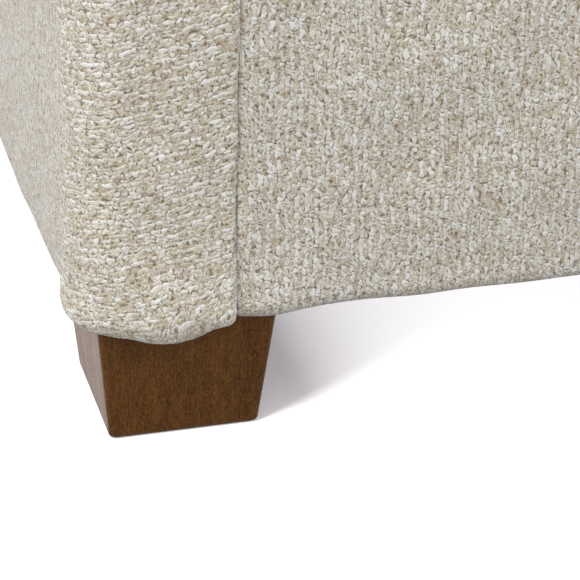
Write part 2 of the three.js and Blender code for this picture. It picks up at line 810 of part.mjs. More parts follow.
export default model;
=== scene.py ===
"""An upholstered ottoman with a storage space under its padded, hinged lid.

A plywood box stands on four tapered block feet. It is padded and covered in eight sewn
panels of slub tweed, lined inside, and closed by a lid on a continuous hinge that two
folding stays hold open. Metres, +Z up, the front faces -Y.
"""

import bpy
import numpy as np
from mathutils import Matrix, Vector


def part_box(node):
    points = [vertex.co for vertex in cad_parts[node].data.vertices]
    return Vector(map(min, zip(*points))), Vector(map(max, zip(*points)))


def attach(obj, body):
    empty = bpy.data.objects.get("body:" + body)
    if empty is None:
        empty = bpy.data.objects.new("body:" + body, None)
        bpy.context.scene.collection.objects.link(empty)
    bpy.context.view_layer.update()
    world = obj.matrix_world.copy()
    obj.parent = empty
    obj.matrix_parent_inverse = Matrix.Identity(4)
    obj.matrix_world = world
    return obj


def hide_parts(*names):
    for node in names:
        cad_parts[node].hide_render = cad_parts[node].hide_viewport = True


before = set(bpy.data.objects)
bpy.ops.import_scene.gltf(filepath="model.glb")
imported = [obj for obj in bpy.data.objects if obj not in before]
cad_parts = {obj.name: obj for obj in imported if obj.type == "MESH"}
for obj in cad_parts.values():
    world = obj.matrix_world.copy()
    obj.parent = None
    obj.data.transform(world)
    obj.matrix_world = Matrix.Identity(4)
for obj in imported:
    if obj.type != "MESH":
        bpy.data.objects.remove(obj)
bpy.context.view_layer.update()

scene = bpy.context.scene
mm = 0.001

# ---- Camera ----------------------------------------------------------------------------
# The eye stands in front of the left front foot, a little to its left, and looks down at
# the corner with a long lens.

foot_low, foot_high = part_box("foot_front_left")
foot_middle = (foot_low + foot_high) / 2
eye_from_foot = Vector((-0.24035, -1.02490, 0.63435))  # from the floor under the foot
turn, tilt, lean = 0.284003, 0.502238, 0.027345  # radians: to the right, down, clockwise
lens = 161.68

ahead = Vector((np.sin(turn) * np.cos(tilt), np.cos(turn) * np.cos(tilt), -np.sin(tilt)))
level = Vector((np.cos(turn), -np.sin(turn), 0))
upright = level.cross(ahead)
right = level * np.cos(lean) + upright * np.sin(lean)
up = upright * np.cos(lean) - level * np.sin(lean)

camera = bpy.data.objects.new("camera", bpy.data.cameras.new("camera"))
camera.data.lens = lens
camera.data.sensor_width = 36
camera.data.clip_start = 0.05
camera.data.clip_end = 60
camera.matrix_world = Matrix((right, up, -ahead)).transposed().to_4x4()
camera.location = Vector((foot_middle.x, foot_middle.y, 0)) + eye_from_foot
scene.collection.objects.link(camera)
scene.camera = camera
scene.view_settings.view_transform = "Standard"

# ---- Studio ----------------------------------------------------------------------------
# A white floor and a white surround, which gives most of the light. A soft lamp stands at
# the left end, a weaker one at the front right, and a third throws the feet's shadows on
# the floor.


class Field:
    """A value that varies over a surface: an output socket of a shader node. Arithmetic
    with fields and numbers adds the Math nodes that work it out, or for vectors the Vector
    Math nodes."""

    def __init__(self, socket):
        self.socket = socket
        self.tree = socket.id_data

    def __add__(self, other):
        return combine("ADD", self, other)

    def __sub__(self, other):
        return combine("SUBTRACT", self, other)

    def __rsub__(self, other):
        return combine("SUBTRACT", other, self)

    def __mul__(self, other):
        return combine("MULTIPLY", self, other)

    def __truediv__(self, other):
        return combine("DIVIDE", self, other)

    def __abs__(self):
        return combine("ABSOLUTE", self)

    __rmul__ = __mul__

    def parts(self):
        """The three numbers of a vector."""
        separated = shader_node(self.tree, "SeparateXYZ", {0: self})
        return [Field(socket) for socket in separated.outputs]


def lead(value, socket):
    """Links a field to an input socket, or sets the socket to a value."""
    if isinstance(value, Field):
        value.tree.links.new(value.socket, socket)
    else:
        socket.default_value = value


def shader_node(tree, kind, inputs=None, **settings):
    """Adds a shader node, with a value or a field for each of the named inputs."""
    made = tree.nodes.new("ShaderNode" + kind)
    for name, value in settings.items():
        setattr(made, name, value)
    for name, value in (inputs or {}).items():
        lead(value, made.inputs[name])
    return made


def shader_value(tree, kind, inputs=None, output=0, **settings):
    """Adds a shader node and gives one of its outputs."""
    return Field(shader_node(tree, kind, inputs, **settings).outputs[output])


def combine(operation, *values):
    """The result of one Math node, or Vector Math node if the first field is a vector."""
    first = next(value for value in values if isinstance(value, Field))
    kind = "VectorMath" if first.socket.type in ("VECTOR", "RGBA") else "Math"
    output = 1 if operation == "DOT_PRODUCT" else 0
    return shader_value(first.tree, kind, dict(enumerate(values)), output, operation=operation)


def seen_directly(tree):
    """1 where the eye, a mirror image or a look through glass meets the studio."""
    path = shader_node(tree, "LightPath").outputs
    eye, mirror = Field(path["Is Camera Ray"]), Field(path["Is Glossy Ray"])
    glass = Field(path["Is Transmission Ray"])
    return combine("MAXIMUM", combine("MAXIMUM", eye, mirror), glass)


surround_light = 1.05
surround = bpy.data.worlds.new("studio_surround")
scene.world = surround
surround.use_nodes = True
tree = surround.node_tree
tree.nodes.clear()
brightness = seen_directly(tree) * (1 - surround_light) + surround_light
backdrop = shader_value(tree, "Background", {"Color": (1, 1, 1, 1), "Strength": brightness})
shader_node(tree, "OutputWorld", {"Surface": backdrop})

paper_color = 0.90
paper_bounce = 0.20  # what the object receives of it
paper_lift = 0.25  # how much whiter the paper looks than its lighting makes it
lift_color = (1.0, 0.91, 0.985, 1)
floor_half = 12.0
floor_mesh = bpy.data.meshes.new("floor")
floor_corners = [(x * floor_half, y * floor_half, 0) for x, y in ((-1, -1), (1, -1), (1, 1), (-1, 1))]
floor_mesh.from_pydata(floor_corners, [], [(0, 1, 2, 3)])
floor = bpy.data.objects.new("floor", floor_mesh)
scene.collection.objects.link(floor)

paper = bpy.data.materials.new("white_paper")
paper.use_nodes = True
tree = paper.node_tree
tree.nodes.clear()
seen = seen_directly(tree)
white = seen * (paper_color - paper_bounce) + paper_bounce
matte = shader_value(tree, "BsdfDiffuse", {"Color": white})
glow = shader_value(tree, "Emission", {"Color": lift_color, "Strength": seen * paper_lift})
both = shader_value(tree, "AddShader", {0: matte, 1: glow})
shader_node(tree, "OutputMaterial", {"Surface": both})
floor_mesh.materials.append(paper)


def studio_lamp(name, bearing, height, distance, width, tall, power):
    """A soft lamp that faces the left front foot. Its bearing and height are the angles,
    in degrees, of the way to the lamp: bearing 0 points along +X and 90 along +Y."""
    lamp = bpy.data.objects.new(name, bpy.data.lights.new(name, "AREA"))
    lamp.data.shape = "RECTANGLE"
    lamp.data.size = width
    lamp.data.size_y = tall
    lamp.data.energy = power
    bearing, height = np.radians(bearing), np.radians(height)
    way = Vector((np.cos(bearing) * np.cos(height), np.sin(bearing) * np.cos(height), np.sin(height)))
    lamp.location = Vector((foot_middle.x, foot_middle.y, 0)) + way * distance
    lamp.rotation_euler = way.to_track_quat("Z", "Y").to_euler()
    scene.collection.objects.link(lamp)
    return lamp


def light_group(name, members, state="INCLUDE"):
    """The objects that a lamp lights, or that throw its shadows."""
    group = bpy.data.collections.new(name)
    for member in members:
        group.objects.link(member)
    for link in group.collection_objects:
        link.light_linking.link_state = state
    return group


# For each corner, the halves of the X axis and of the Y axis that it lies on.
corners = {"front_left": (-1, -1), "front_right": (1, -1), "back_left": (-1, 1), "back_right": (1, 1)}
feet = [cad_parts["foot_" + place] for place in corners]
all_but_the_floor = light_group("all_but_the_floor", [floor], "EXCLUDE")
for name, bearing, height, power in (("key_lamp", 197, 42, 50), ("fill_lamp", 290, 45, 22)):
    lamp = studio_lamp(name, bearing, height, distance=3.6, width=1.3, tall=1.3, power=power)
    lamp.light_linking.receiver_collection = all_but_the_floor
floor_lamp = studio_lamp("floor_lamp", 215, 49, distance=3.0, width=0.5, tall=2.8, power=112)
floor_lamp.light_linking.receiver_collection = light_group("the_floor", [floor])
floor_lamp.light_linking.blocker_collection = light_group("the_feet", feet)

# ---- Tweed -----------------------------------------------------------------------------
# The cloth is an oatmeal and cream slub tweed: plump soft yarn floats in staggered rows,
# over thinner beige crossing yarns. The dark brown in the low gaps between them is painted shade.

puff_length = 2.6 * mm  # one float of the thick yarn, along the yarn
row_pitch = 2.15 * mm  # from one row of floats to the next
speckle_turns = ((1.9898, 3.233, 2.719), (3.1731, 1.7532, 5.391), (2.4141, 4.1123, 1.3371))
speckle_spread = 437.585
puff_shift = (0.34, 0.12)  # how far a float may lie off its place, in lengths and rows
puff_slant = (-0.22, 0.62)  # least, and how much more
puff_arc = (1.1, 0.1)  # how far a float's ends bend up, and its middle down
puff_half_length = (0.44, 0.18)
puff_half_width = (0.34, 0.18)
puff_height = (0.66, 0.34)
row_thickness = (1.08, 0.82)  # of the cream rows and of the beige rows between them
ground_height = 0.20

# Six waves that bend the yarns, each with its direction and size in radians for each
# metre, its start, and how far it shifts them along and across.
curl_waves = (
    (1010, 620, 1.0, 0.30 * mm, 0.0),
    (-590, 1240, 2.3, 0.30 * mm, 0.0),
    (880, -910, 4.1, 0.0, 0.24 * mm),
    (1330, 470, 0.4, 0.0, 0.24 * mm),
    (390, 310, 2.0, 0.75 * mm, 0.10 * mm),
    (-480, 260, 5.1, 0.75 * mm, 0.20 * mm),
)


def fraction(values):
    """What is left of each value above the whole number below it."""
    return values - np.floor(values)


def weave_height(along, across):
    """How high the yarn stands, from 0 to 1, at places on the cloth in metres. Two sets of
    floats lie staggered by half a cell. In its cell, a float is half of an ellipsoid,
    shifted, slanted, arched and sized by three numbers that come from the cell's place:
    the fraction of a large multiple of the sine of the place times a fixed vector. Before
    all this the place is shifted by the curl waves, which bend the yarns."""
    waves = np.array([np.sin(u * along + v * across + start) for u, v, start, _, _ in curl_waves])
    reach = np.array(curl_waves)[:, 3:]
    along = along + np.tensordot(reach[:, 0], waves, axes=1)
    across = across + np.tensordot(reach[:, 1], waves, axes=1)
    height = np.full(np.shape(along), ground_height)
    for stagger in (0, 1):
        column = along / puff_length + stagger / 2
        row = across / (2 * row_pitch) + stagger / 2
        cell = np.stack([np.floor(column), np.floor(row), np.full_like(row, stagger)], axis=-1)
        turns = np.sin(cell @ np.array(speckle_turns).T)
        first, second, third = np.moveaxis(fraction(turns * speckle_spread), -1, 0)
        x = fraction(column) - 0.5 + puff_shift[0] * (first - 0.5)
        y = 2 * (fraction(row) - 0.5) + puff_shift[1] * (second - 0.5)
        y = y - (puff_slant[0] + puff_slant[1] * second) * x - puff_arc[0] * x**2 + puff_arc[1]
        half_length = puff_half_length[0] + puff_half_length[1] * third
        half_width = row_thickness[stagger] * (puff_half_width[0] + puff_half_width[1] * third)
        left = 1 - (x / half_length) ** 2 - (y / half_width) ** 2
        top = puff_height[0] + puff_height[1] * third
        height = np.maximum(height, top * np.sqrt(np.maximum(left, 0)))
    return height


def shader_group(name, inputs, outputs):
    """An empty shader group: its tree, the fields that come in, and the sockets that its
    results are led to."""
    tree = bpy.data.node_groups.new(name, "ShaderNodeTree")
    for way, sockets in (("INPUT", inputs), ("OUTPUT", outputs)):
        for socket, kind in sockets.items():
            tree.interface.new_socket(socket, in_out=way, socket_type="NodeSocket" + kind)
    entry = tree.nodes.new("NodeGroupInput").outputs
    result = tree.nodes.new("NodeGroupOutput").inputs
    return tree, {socket: Field(entry[socket]) for socket in inputs}, result


def use_group(tree, group, inputs):
    """A shader group in a material, with a value or a field for each of its inputs. Gives
    its outputs by name."""
    made = tree.nodes.new("ShaderNodeGroup")
    made.node_tree = group
    for name, value in inputs.items():
        lead(value, made.inputs[name])
    return {socket.name: Field(socket) for socket in made.outputs}


def mixed(share, first, second, mode="MIX"):
    """Two colours mixed by a share from 0 to 1, which is a field or is 1."""
    tree = next(value.tree for value in (share, first, second) if isinstance(value, Field))
    inputs = {0: share, 6: first, 7: second}
    return shader_value(tree, "Mix", inputs, 2, data_type="RGBA", blend_type=mode)


def chosen(share, first, second):
    """Two numbers mixed by a share from 0 to 1."""
    return shader_value(share.tree, "Mix", {0: share, 2: first, 3: second})


def risen(value, start, end):
    """0 where a value hasn't come to the start, 1 where it is past the end."""
    return shader_value(value.tree, "MapRange", {"Value": value, "From Min": start, "From Max": end})


def noise(place, scale, detail=2.0, roughness=0.5, output="Fac"):
    """Uneven lumps from 0 to 1, as many in a unit of the place as the scale says."""
    inputs = {"Vector": place, "Scale": scale, "Detail": detail, "Roughness": roughness}
    return shader_value(place.tree, "TexNoise", inputs, output)


def ramp(value, stops):
    """A smooth colour ramp through stops of (position, red, green, blue)."""
    made = shader_node(value.tree, "ValToRGB", {"Fac": value})
    made.color_ramp.interpolation = "EASE"
    elements = made.color_ramp.elements
    while len(elements) < len(stops):
        elements.new(0.5)
    for element, (position, *color) in zip(elements, stops):
        element.position = position
        element.color = (*color, 1)
    return Field(made.outputs["Color"])


yarn_tones = [
    (0.00, 0.450, 0.360, 0.235),
    (0.30, 0.560, 0.486, 0.362),
    (0.52, 0.660, 0.608, 0.510),
    (0.75, 0.745, 0.720, 0.660),
    (1.00, 0.808, 0.800, 0.772),
]
# The dark colour of the low gaps between the yarns: painted shade, not a yarn's own colour.
gap_shade_color = (0.185, 0.130, 0.072, 1)
row_tone = (0.24, 0.02)  # how much paler than the mix the cream and the beige rows are
own_tone = (0.4, 0.5)  # how far two of a float's numbers change its tone
fourth_number = (11.3, 5.7)  # of a float, from its first and second
# Along the middle of a float, the groove between its plies is painted darker: painted shade.
ply_line = (0.38, 0.08)  # where the line between a yarn's plies starts and is full
ply_shade_tone, ply_depth = -0.34, -0.10  # what it adds


def float_layer(cell_place, stagger):
    """The same float as in weave_height, as a height and a tone, with a line along it
    between its two plies, which is lower and painted darker: painted shade in the groove."""
    moved = cell_place + (stagger / 2, stagger / 2, 0)
    corner = combine("FLOOR", moved)
    x, y, _ = (moved - corner - (0.5, 0.5, 0)).parts()
    cell = corner + (0, 0, stagger)
    turns = {i: combine("DOT_PRODUCT", cell, way) for i, way in enumerate(speckle_turns)}
    wild = combine("SINE", shader_value(cell.tree, "CombineXYZ", turns)) * ((speckle_spread,) * 3)
    first, second, third = combine("FRACTION", wild).parts()
    x = x + puff_shift[0] * (first - 0.5)
    y = y * 2 + puff_shift[1] * (second - 0.5)
    y = y - (second * puff_slant[1] + puff_slant[0]) * x - x * x * puff_arc[0] + puff_arc[1]
    x = x / (third * puff_half_length[1] + puff_half_length[0])
    y = y / ((third * puff_half_width[1] + puff_half_width[0]) * row_thickness[stagger])
    top = third * puff_height[1] + puff_height[0]
    height = top * combine("SQRT", combine("MAXIMUM", 1 - x * x - y * y, 0))
    fourth = combine("FRACT", first * fourth_number[0] + second * fourth_number[1])
    tone = third * own_tone[0] + fourth * own_tone[1] + row_tone[stagger]
    line = risen(abs(y), *ply_line)
    return height + line * ply_depth, tone + line * ply_shade_tone


# Noises: their lumps in a metre, and how far they change the tone or the height.
fuzz_grain, fuzz_reach = 900, 0.9 * mm  # loose fibres that smudge the yarns' outlines
patch_grain, patch_tone = 90, 0.75
cluster_grain, cluster_tone = 260, 0.7
fibre_grain, fibre_tone, fibre_depth = (1000, 2300, 1), 1.1, 0.7
strand_grain, strand_depth = (1300, 420, 1), 1.3  # of the crossing yarns
strand_tone, strand_dark = 1.2, -0.25
hair_grain, hair_edge, hair_tone, hair_depth = (230, 520, 1), (0.035, 0.012), 0.35, 0.2
filling_grain, filling_depth = 420, 1.5
# The yarn heights at which the colour is all painted gap shade, and all yarn.
gap_shade_heights = (-0.1, 0.45)  # all gap, and all yarn
blend = 0.06  # in height, between the floats and the crossing yarns


def slub_weave_group():
    """The tweed's colour and height on cloth coordinates in metres. Paler shifts the tones
    of its yarns."""
    tree, entry, result = shader_group(
        "slub_weave", {"Cloth": "Vector", "Paler": "Float"}, {"Color": "Color", "Height": "Float"}
    )
    cloth = entry["Cloth"]
    curled = cloth
    for u, v, start, *reach in curl_waves:
        wave = combine("SINE", combine("DOT_PRODUCT", cloth, (u, v, 0)) + start)
        shift = {0: (*reach, 0), "Scale": wave}
        curled = curled + shader_value(tree, "VectorMath", shift, operation="SCALE")
    fuzz = noise(cloth, fuzz_grain, 2, 0.6, "Color") - (0.5, 0.5, 0.5)
    curled = curled + fuzz * (fuzz_reach, fuzz_reach, 0)
    cell_place = curled * (1 / puff_length, 1 / (2 * row_pitch), 0)
    low, low_tone = float_layer(cell_place, 0)
    high, high_tone = float_layer(cell_place, 1)
    floats = combine("MAXIMUM", high, low)
    tone = chosen(combine("GREATER_THAN", high, low), low_tone, high_tone)
    fibres = noise(cloth * fibre_grain, 1.0, 2, 0.6)
    tone = tone + (noise(cloth, patch_grain) - 0.5) * patch_tone
    tone = tone + (noise(cloth, cluster_grain, 1) - 0.5) * cluster_tone
    tone = tone + (fibres - 0.5) * fibre_tone

    strands = (noise(cloth * strand_grain, 1.0, 1) - 0.5) * strand_depth + ground_height
    over = risen(floats - strands, -blend, blend)
    tone = chosen(over, fibres * strand_tone + strand_dark, tone)
    hair = risen(abs(noise(cloth * hair_grain, 1.0, 1) - 0.5), *hair_edge)
    tone = tone + hair * hair_tone + entry["Paler"]
    height = combine("MAXIMUM", floats, strands) + hair * hair_depth + (fibres - 0.5) * fibre_depth
    # Where the yarn lies low, its colour goes towards the dark gap colour, as painted shade. A noise makes
    # some gaps darker than others.
    filled = height + (noise(cloth, filling_grain, 1) - 0.5) * filling_depth
    color = mixed(risen(filled, *gap_shade_heights), gap_shade_color, ramp(tone, yarn_tones))
    lead(color, result["Color"])
    lead(height, result["Height"])
    return tree


slub_weave = slub_weave_group()


def new_material(name, constants):
    """A material with only a Principled BSDF, and its values that are the same all over."""
    material = bpy.data.materials.new(name)
    material.use_nodes = True
    surface = material.node_tree.nodes["Principled BSDF"].inputs
    for socket, value in constants.items():
        surface[socket].default_value = value
    return material, material.node_tree, surface


def color_and_bump(surface, color, height, depth, strength):
    """Leads a colour, and a relief of the given depth in metres, to a Principled BSDF."""
    inputs = {"Strength": strength, "Distance": depth, "Height": height}
    lead(color, surface["Base Color"])
    lead(shader_value(color.tree, "Bump", inputs), surface["Normal"])


def tweed_material(name, relief, paler):
    """Tweed whose yarns stand up by relief, in metres, as bump, and are paler by a tone."""
    constants = {
        "Roughness": 0.92,
        "Sheen Weight": 0.32,
        "Sheen Roughness": 0.6,
        "Specular IOR Level": 0.2,
    }
    material, tree, surface = new_material(name, constants)
    cloth = shader_value(tree, "UVMap", uv_map="cloth")
    weave = use_group(tree, slub_weave, {"Cloth": cloth, "Paler": paler})
    color_and_bump(surface, weave["Color"], weave["Height"], relief, 1.0)
    return material


# The corner panels' tweed is the same cloth with tones 0.07 lower than the wide panels': painted shade,
# which makes up for their relief and the light rendering them brighter.
tweed = tweed_material("tweed", relief=0.52 * mm, paler=0.08)
tweed_over_relief_painted_shade = tweed_material("tweed_over_relief_painted_shade", relief=0.35 * mm, paler=0.01)

# ---- Padded covers of the box ----------------------------------------------------------
# Each panel is tweed over a thin layer of wadding. It is stapled under the frame, rolls
# round a soft hem, goes up the face, over the rim and down inside. Upright seams join the
# wide panels to the narrow ones that wrap the corners.

half_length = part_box("cover_corner_front_right")[1].x
half_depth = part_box("cover_corner_back_right")[1].y
seam_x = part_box("cover_front")[1].x
seam_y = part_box("cover_right")[1].y
hem_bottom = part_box("cover_front")[0].z - 1.6 * mm
rim_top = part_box("cover_front")[1].z
frame_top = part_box("panel_front")[1].z
corner_radius = 24 * mm
least_radius = 2 * mm  # of the square corners inside the box
hem_radius = 7.5 * mm
hem_return = 42 * mm  # from the face to the stapled edge
rim_radius = 14 * mm
mouth_radius = 4 * mm
mouth_inset = 31.3 * mm
turn_down = 25 * mm
staple_level = 72.7 * mm
wadding_inset = 12.7 * mm  # the face of the plywood
behind_turn = 28.6 * mm  # its inner side
over_edge = 0.3 * mm  # from a board's edge to the padding on it
pinched = (76.02 * mm, 76.26 * mm)  # the cloth between a foot and the frame


def bend(inset, level, radius, start, end):
    """25 points round a circle in the plane of inset and height, between two angles in
    degrees, of which 180 is the face."""
    angle = np.radians(np.linspace(start, end, 25))
    return np.stack([inset + radius * np.cos(angle), level + radius * np.sin(angle)], axis=1)


def evenly(points, spacing):
    """A line again, with its points the given distance apart along it."""
    steps = np.linalg.norm(np.diff(points, axis=0), axis=1)
    length = np.concatenate([[0], np.cumsum(steps)])
    at = np.linspace(0, length[-1], max(2, round(length[-1] / spacing) + 1))
    return np.interp(at, length, points[:, 0]), np.interp(at, length, points[:, 1]), at


def drift(u, v, size, seed):
    """Gentle uneven waves of about 1: the sum of twelve sines whose lengths are near the
    given size and whose directions and starts come from the seed."""
    random = np.random.default_rng(seed)
    total = np.zeros(np.broadcast(u, v).shape)
    for _ in range(12):
        direction, start = random.uniform(0, 2 * np.pi, 2)
        rate = 2 * np.pi / size * random.uniform(0.7, 1.4)
        total += np.sin(rate * (u * np.cos(direction) + v * np.sin(direction)) + start)
    return total / 6**0.5


def straight_plan(sign, along_x):
    """Places on a wide panel: across runs along the side, and inset leads in from it. The
    side is along X at y = sign x half_depth, or along Y at x = sign x half_length."""

    def plan(across, inset):
        """x and y at places across the panel and in from its side."""
        across, inset = np.broadcast_arrays(across, inset)
        if along_x:
            return -sign * across, sign * (half_depth - inset)
        return sign * (half_length - inset), sign * across

    return plan


def corner_plan(sx, sy, radius):
    """Places round a corner: straight from the seam on the end, round a quarter circle
    and straight on to the seam on the front or back. Deeper in, the circle shrinks."""
    end_run = half_depth - radius - seam_y
    arc_run = radius * np.pi / 2
    front_run = half_length - radius - seam_x

    def plan(across, inset):
        """x and y at places across the panel and in from its sides."""
        across, inset = np.broadcast_arrays(across, inset)
        along = across if sx * sy > 0 else end_run + arc_run + front_run - across
        round_by = np.maximum(radius - inset, least_radius)
        centre_x = half_length - inset - round_by
        centre_y = half_depth - inset - round_by
        first = np.clip(along / end_run, 0, 1)
        angle = np.clip((along - end_run) / arc_run, 0, 1) * np.pi / 2
        last = np.clip((along - end_run - arc_run) / front_run, 0, 1)
        x = centre_x + round_by * np.cos(angle) - last * (centre_x - seam_x)
        y = centre_y + round_by * np.sin(angle) - (1 - first) * (centre_y - seam_y)
        return sx * x, sy * y

    return plan, end_run + arc_run + front_run


def surface_normals(points):
    """Unit normals of a grid of points, from its slopes down the rows and the columns."""
    across = np.gradient(points, axis=1)
    down = np.gradient(points, axis=0)
    normal = np.cross(across, down)
    return normal / np.maximum(np.linalg.norm(normal, axis=2, keepdims=True), 1e-12)


def mesh_piece(name, points, faces, material, cloth=None, sharp=None):
    """A smooth mesh object, with cloth coordinates for each of its points if given, and
    sharp where its faces meet at more than that many degrees if given."""
    mesh = bpy.data.meshes.new(name)
    mesh.from_pydata(points, [], faces)
    mesh.polygons.foreach_set("use_smooth", np.ones(len(mesh.polygons), bool))
    if cloth is not None:
        corner_points = np.zeros(len(mesh.loops), np.int32)
        mesh.loops.foreach_get("vertex_index", corner_points)
        layer = mesh.uv_layers.new(name="cloth")
        layer.data.foreach_set("uv", cloth[corner_points].astype(np.float32).ravel())
    if sharp is not None:
        mesh.set_sharp_from_angle(angle=np.deg2rad(sharp))
    mesh.materials.append(material)
    made = bpy.data.objects.new(name, mesh)
    scene.collection.objects.link(made)
    return made


def fitted(piece, body, slot, *stands_for):
    """Attaches a piece to the body that it moves with, and hides the CAD nodes that it stands for. The slot
    is not used.
    """
    if stands_for:
        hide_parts(*stands_for)
    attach(piece, body)


def grid_faces(rows, columns, ring=False):
    """Four-sided faces between neighbouring rows and columns of points."""
    low = np.arange(rows if ring else rows - 1)[:, None] * columns
    high = (low + columns) % (rows * columns)
    left = np.arange(columns - 1)[None, :]
    sides = [low + left, low + left + 1, high + left + 1, high + left]
    return np.stack(sides, axis=-1).reshape(-1, 4).tolist()


foot_room = foot_high.x - foot_middle.x + 0.4 * mm


def pinch_over_feet(points, level):
    """Lifts what would lie in a foot up to the given level."""
    past_x = np.abs(np.abs(points[..., 0]) - abs(foot_middle.x)) < foot_room
    past_y = np.abs(np.abs(points[..., 1]) - abs(foot_middle.y)) < foot_room
    over = past_x & past_y & (points[..., 2] < level)
    points[..., 2] = np.where(over, level, points[..., 2])


def sewn_panel(name, plan, across, outside, behind, swell, sag, cloth, material):
    """A closed padded panel. Its outer surface is plan(across, inset) at each height of
    the outside line, moved along its normal by swell and lowered by sag. The line behind
    closes it."""
    inset, height, _ = outside
    x, y = plan(across[None, :], inset[:, None])
    outer = np.stack([x, y, height[:, None] - sag * np.ones_like(x)], axis=-1)
    outer = outer + surface_normals(outer) * swell[..., None]
    pinch_over_feet(outer, pinched[0])
    x, y = plan(across[None, :], behind[:, :1])
    back = np.stack([x, y, np.broadcast_to(behind[:, 1:], x.shape)], axis=-1)
    points = np.concatenate([outer, back])
    rows, columns = points.shape[:2]
    faces = grid_faces(rows, columns, ring=True)
    starts = np.arange(rows) * columns
    faces.append(starts.tolist())
    faces.append((starts + columns - 1)[::-1].tolist())
    cloth_back = np.broadcast_to(cloth[-1:], back.shape[:2] + (2,))
    cloth = np.concatenate([cloth, cloth_back]).reshape(-1, 2)
    return mesh_piece(name, points.reshape(-1, 3), faces, material, cloth)


hem_middle = hem_bottom + hem_radius
hem_start = -np.degrees(np.arcsin((hem_middle - staple_level) / hem_radius))
box_face = np.concatenate(
    [
        bend(hem_radius, hem_middle, hem_radius, hem_start, -180),
        bend(rim_radius, rim_top - rim_radius, rim_radius, 180, 90),
        bend(mouth_inset - mouth_radius, rim_top - mouth_radius, mouth_radius, 90, 0),
        [(mouth_inset, frame_top - turn_down)],
    ]
)
box_behind = np.array(
    [
        (behind_turn, frame_top - turn_down),
        (behind_turn, frame_top + over_edge),
        (wadding_inset, frame_top + over_edge),
        (wadding_inset, pinched[1]),
    ]
)

# The yarns of a panel wander in long waves and in short ones: how far, and their sizes
# along the yarn and beside it.
long_wander, long_waves = 0.5 * mm, (30 * mm, 40 * mm)
short_wander, short_waves = 0.10 * mm, (8 * mm, 9 * mm)


def cloth_places(across, down, tilt_degrees, seed):
    """Cloth coordinates of a panel: turned by the tilt, with the yarns wandering a little."""
    u, v = np.broadcast_arrays(across[None, :], down[:, None])
    tilt_by = np.radians(tilt_degrees)
    along = u * np.cos(tilt_by) + v * np.sin(tilt_by)
    beside = v * np.cos(tilt_by) - u * np.sin(tilt_by)
    places = []
    for i, place in enumerate((along, beside)):
        slow = long_wander * drift(u, v, long_waves[i], seed + 2 * i)
        places.append(place + slow + short_wander * drift(u, v, short_waves[i], seed + 2 * i + 1))
    return np.stack(places, axis=-1)


def near(distance, reach):
    """1 at nothing, falling like a bell curve to nothing past the reach."""
    return np.exp(-((distance / reach) ** 2))


def drawn_out(values, rows_at, columns_at):
    """A grid's values at places between its rows and columns, given in steps, on curves
    that pass through every value without a kink."""
    for at in (rows_at, columns_at):
        low = np.clip(np.floor(at).astype(int), 0, len(values) - 2)
        share = (at - low)[:, None]
        edged = np.pad(values, ((1, 1), (0, 0)), mode="edge")
        before, this, after, later = (edged[low + step] for step in range(4))
        bend_by = 2 * before - 5 * this + 4 * after - later + share * (3 * (this - after) + later - before)
        values = this + 0.5 * share * (after - before + share * bend_by)
        values = values.T
    return values


last_frame = 20


def blown_up(points, held):
    """How far each point of a grid moves outwards, as a share of the most, when cloth is
    held at some of its points and pressed from behind, up to the simulation's last frame."""
    mesh = bpy.data.meshes.new("blown_up")
    mesh.from_pydata(points.reshape(-1, 3), [], grid_faces(*held.shape))
    sheet = bpy.data.objects.new("blown_up", mesh)
    scene.collection.objects.link(sheet)
    sheet.vertex_groups.new(name="held").add(np.flatnonzero(held).tolist(), 1.0, "REPLACE")
    cloth = sheet.modifiers.new("cloth", "CLOTH")
    cloth.settings.use_pressure = True
    cloth.settings.uniform_pressure_force = 4
    cloth.settings.effector_weights.gravity = 0
    cloth.settings.vertex_group_mass = "held"
    cloth.point_cache.frame_start = 1
    cloth.point_cache.frame_end = last_frame
    for number in range(1, last_frame + 1):
        scene.frame_set(number)
    evaluated = sheet.evaluated_get(bpy.context.evaluated_depsgraph_get())
    moved = np.zeros(points.size)
    evaluated.data.vertices.foreach_get("co", moved)
    swell = ((moved.reshape(points.shape) - points) * surface_normals(points)).sum(axis=-1)
    scene.frame_set(1)
    bpy.data.objects.remove(sheet)
    bpy.data.meshes.remove(mesh)
    swell = np.maximum(swell, 0)
    return swell / swell.max()


def panel_swell(plan, across, outside, held_rows, coarse):
    """The simulated swell of a panel held along both seams and at the rows outside
    held_rows, on every point of its fine grid. Coarse is the simulation's step."""
    inset, height, down = outside
    rows = round(down[-1] / coarse) + 1
    columns = round((across[-1] - across[0]) / coarse) + 1
    at = np.linspace(0, down[-1], rows)
    some = np.linspace(across[0], across[-1], columns)
    x, y = plan(some[None, :], np.interp(at, down, inset)[:, None])
    z = np.broadcast_to(np.interp(at, down, height)[:, None], x.shape)
    held = np.zeros(x.shape, bool)
    held[:, [0, -1]] = True
    held[(at < held_rows[0]) | (at > held_rows[1])] = True
    shape = blown_up(np.stack([x, y, z], axis=-1), held)
    columns_at = (across - across[0]) / (across[-1] - across[0]) * (columns - 1)
    return drawn_out(shape, down / down[-1] * (rows - 1), columns_at)


groove_depth, groove_reach = 1.0 * mm, 1.8 * mm
roll_depth = 0.7 * mm
gap_depth, gap_reach = 1.0 * mm, 0.9 * mm


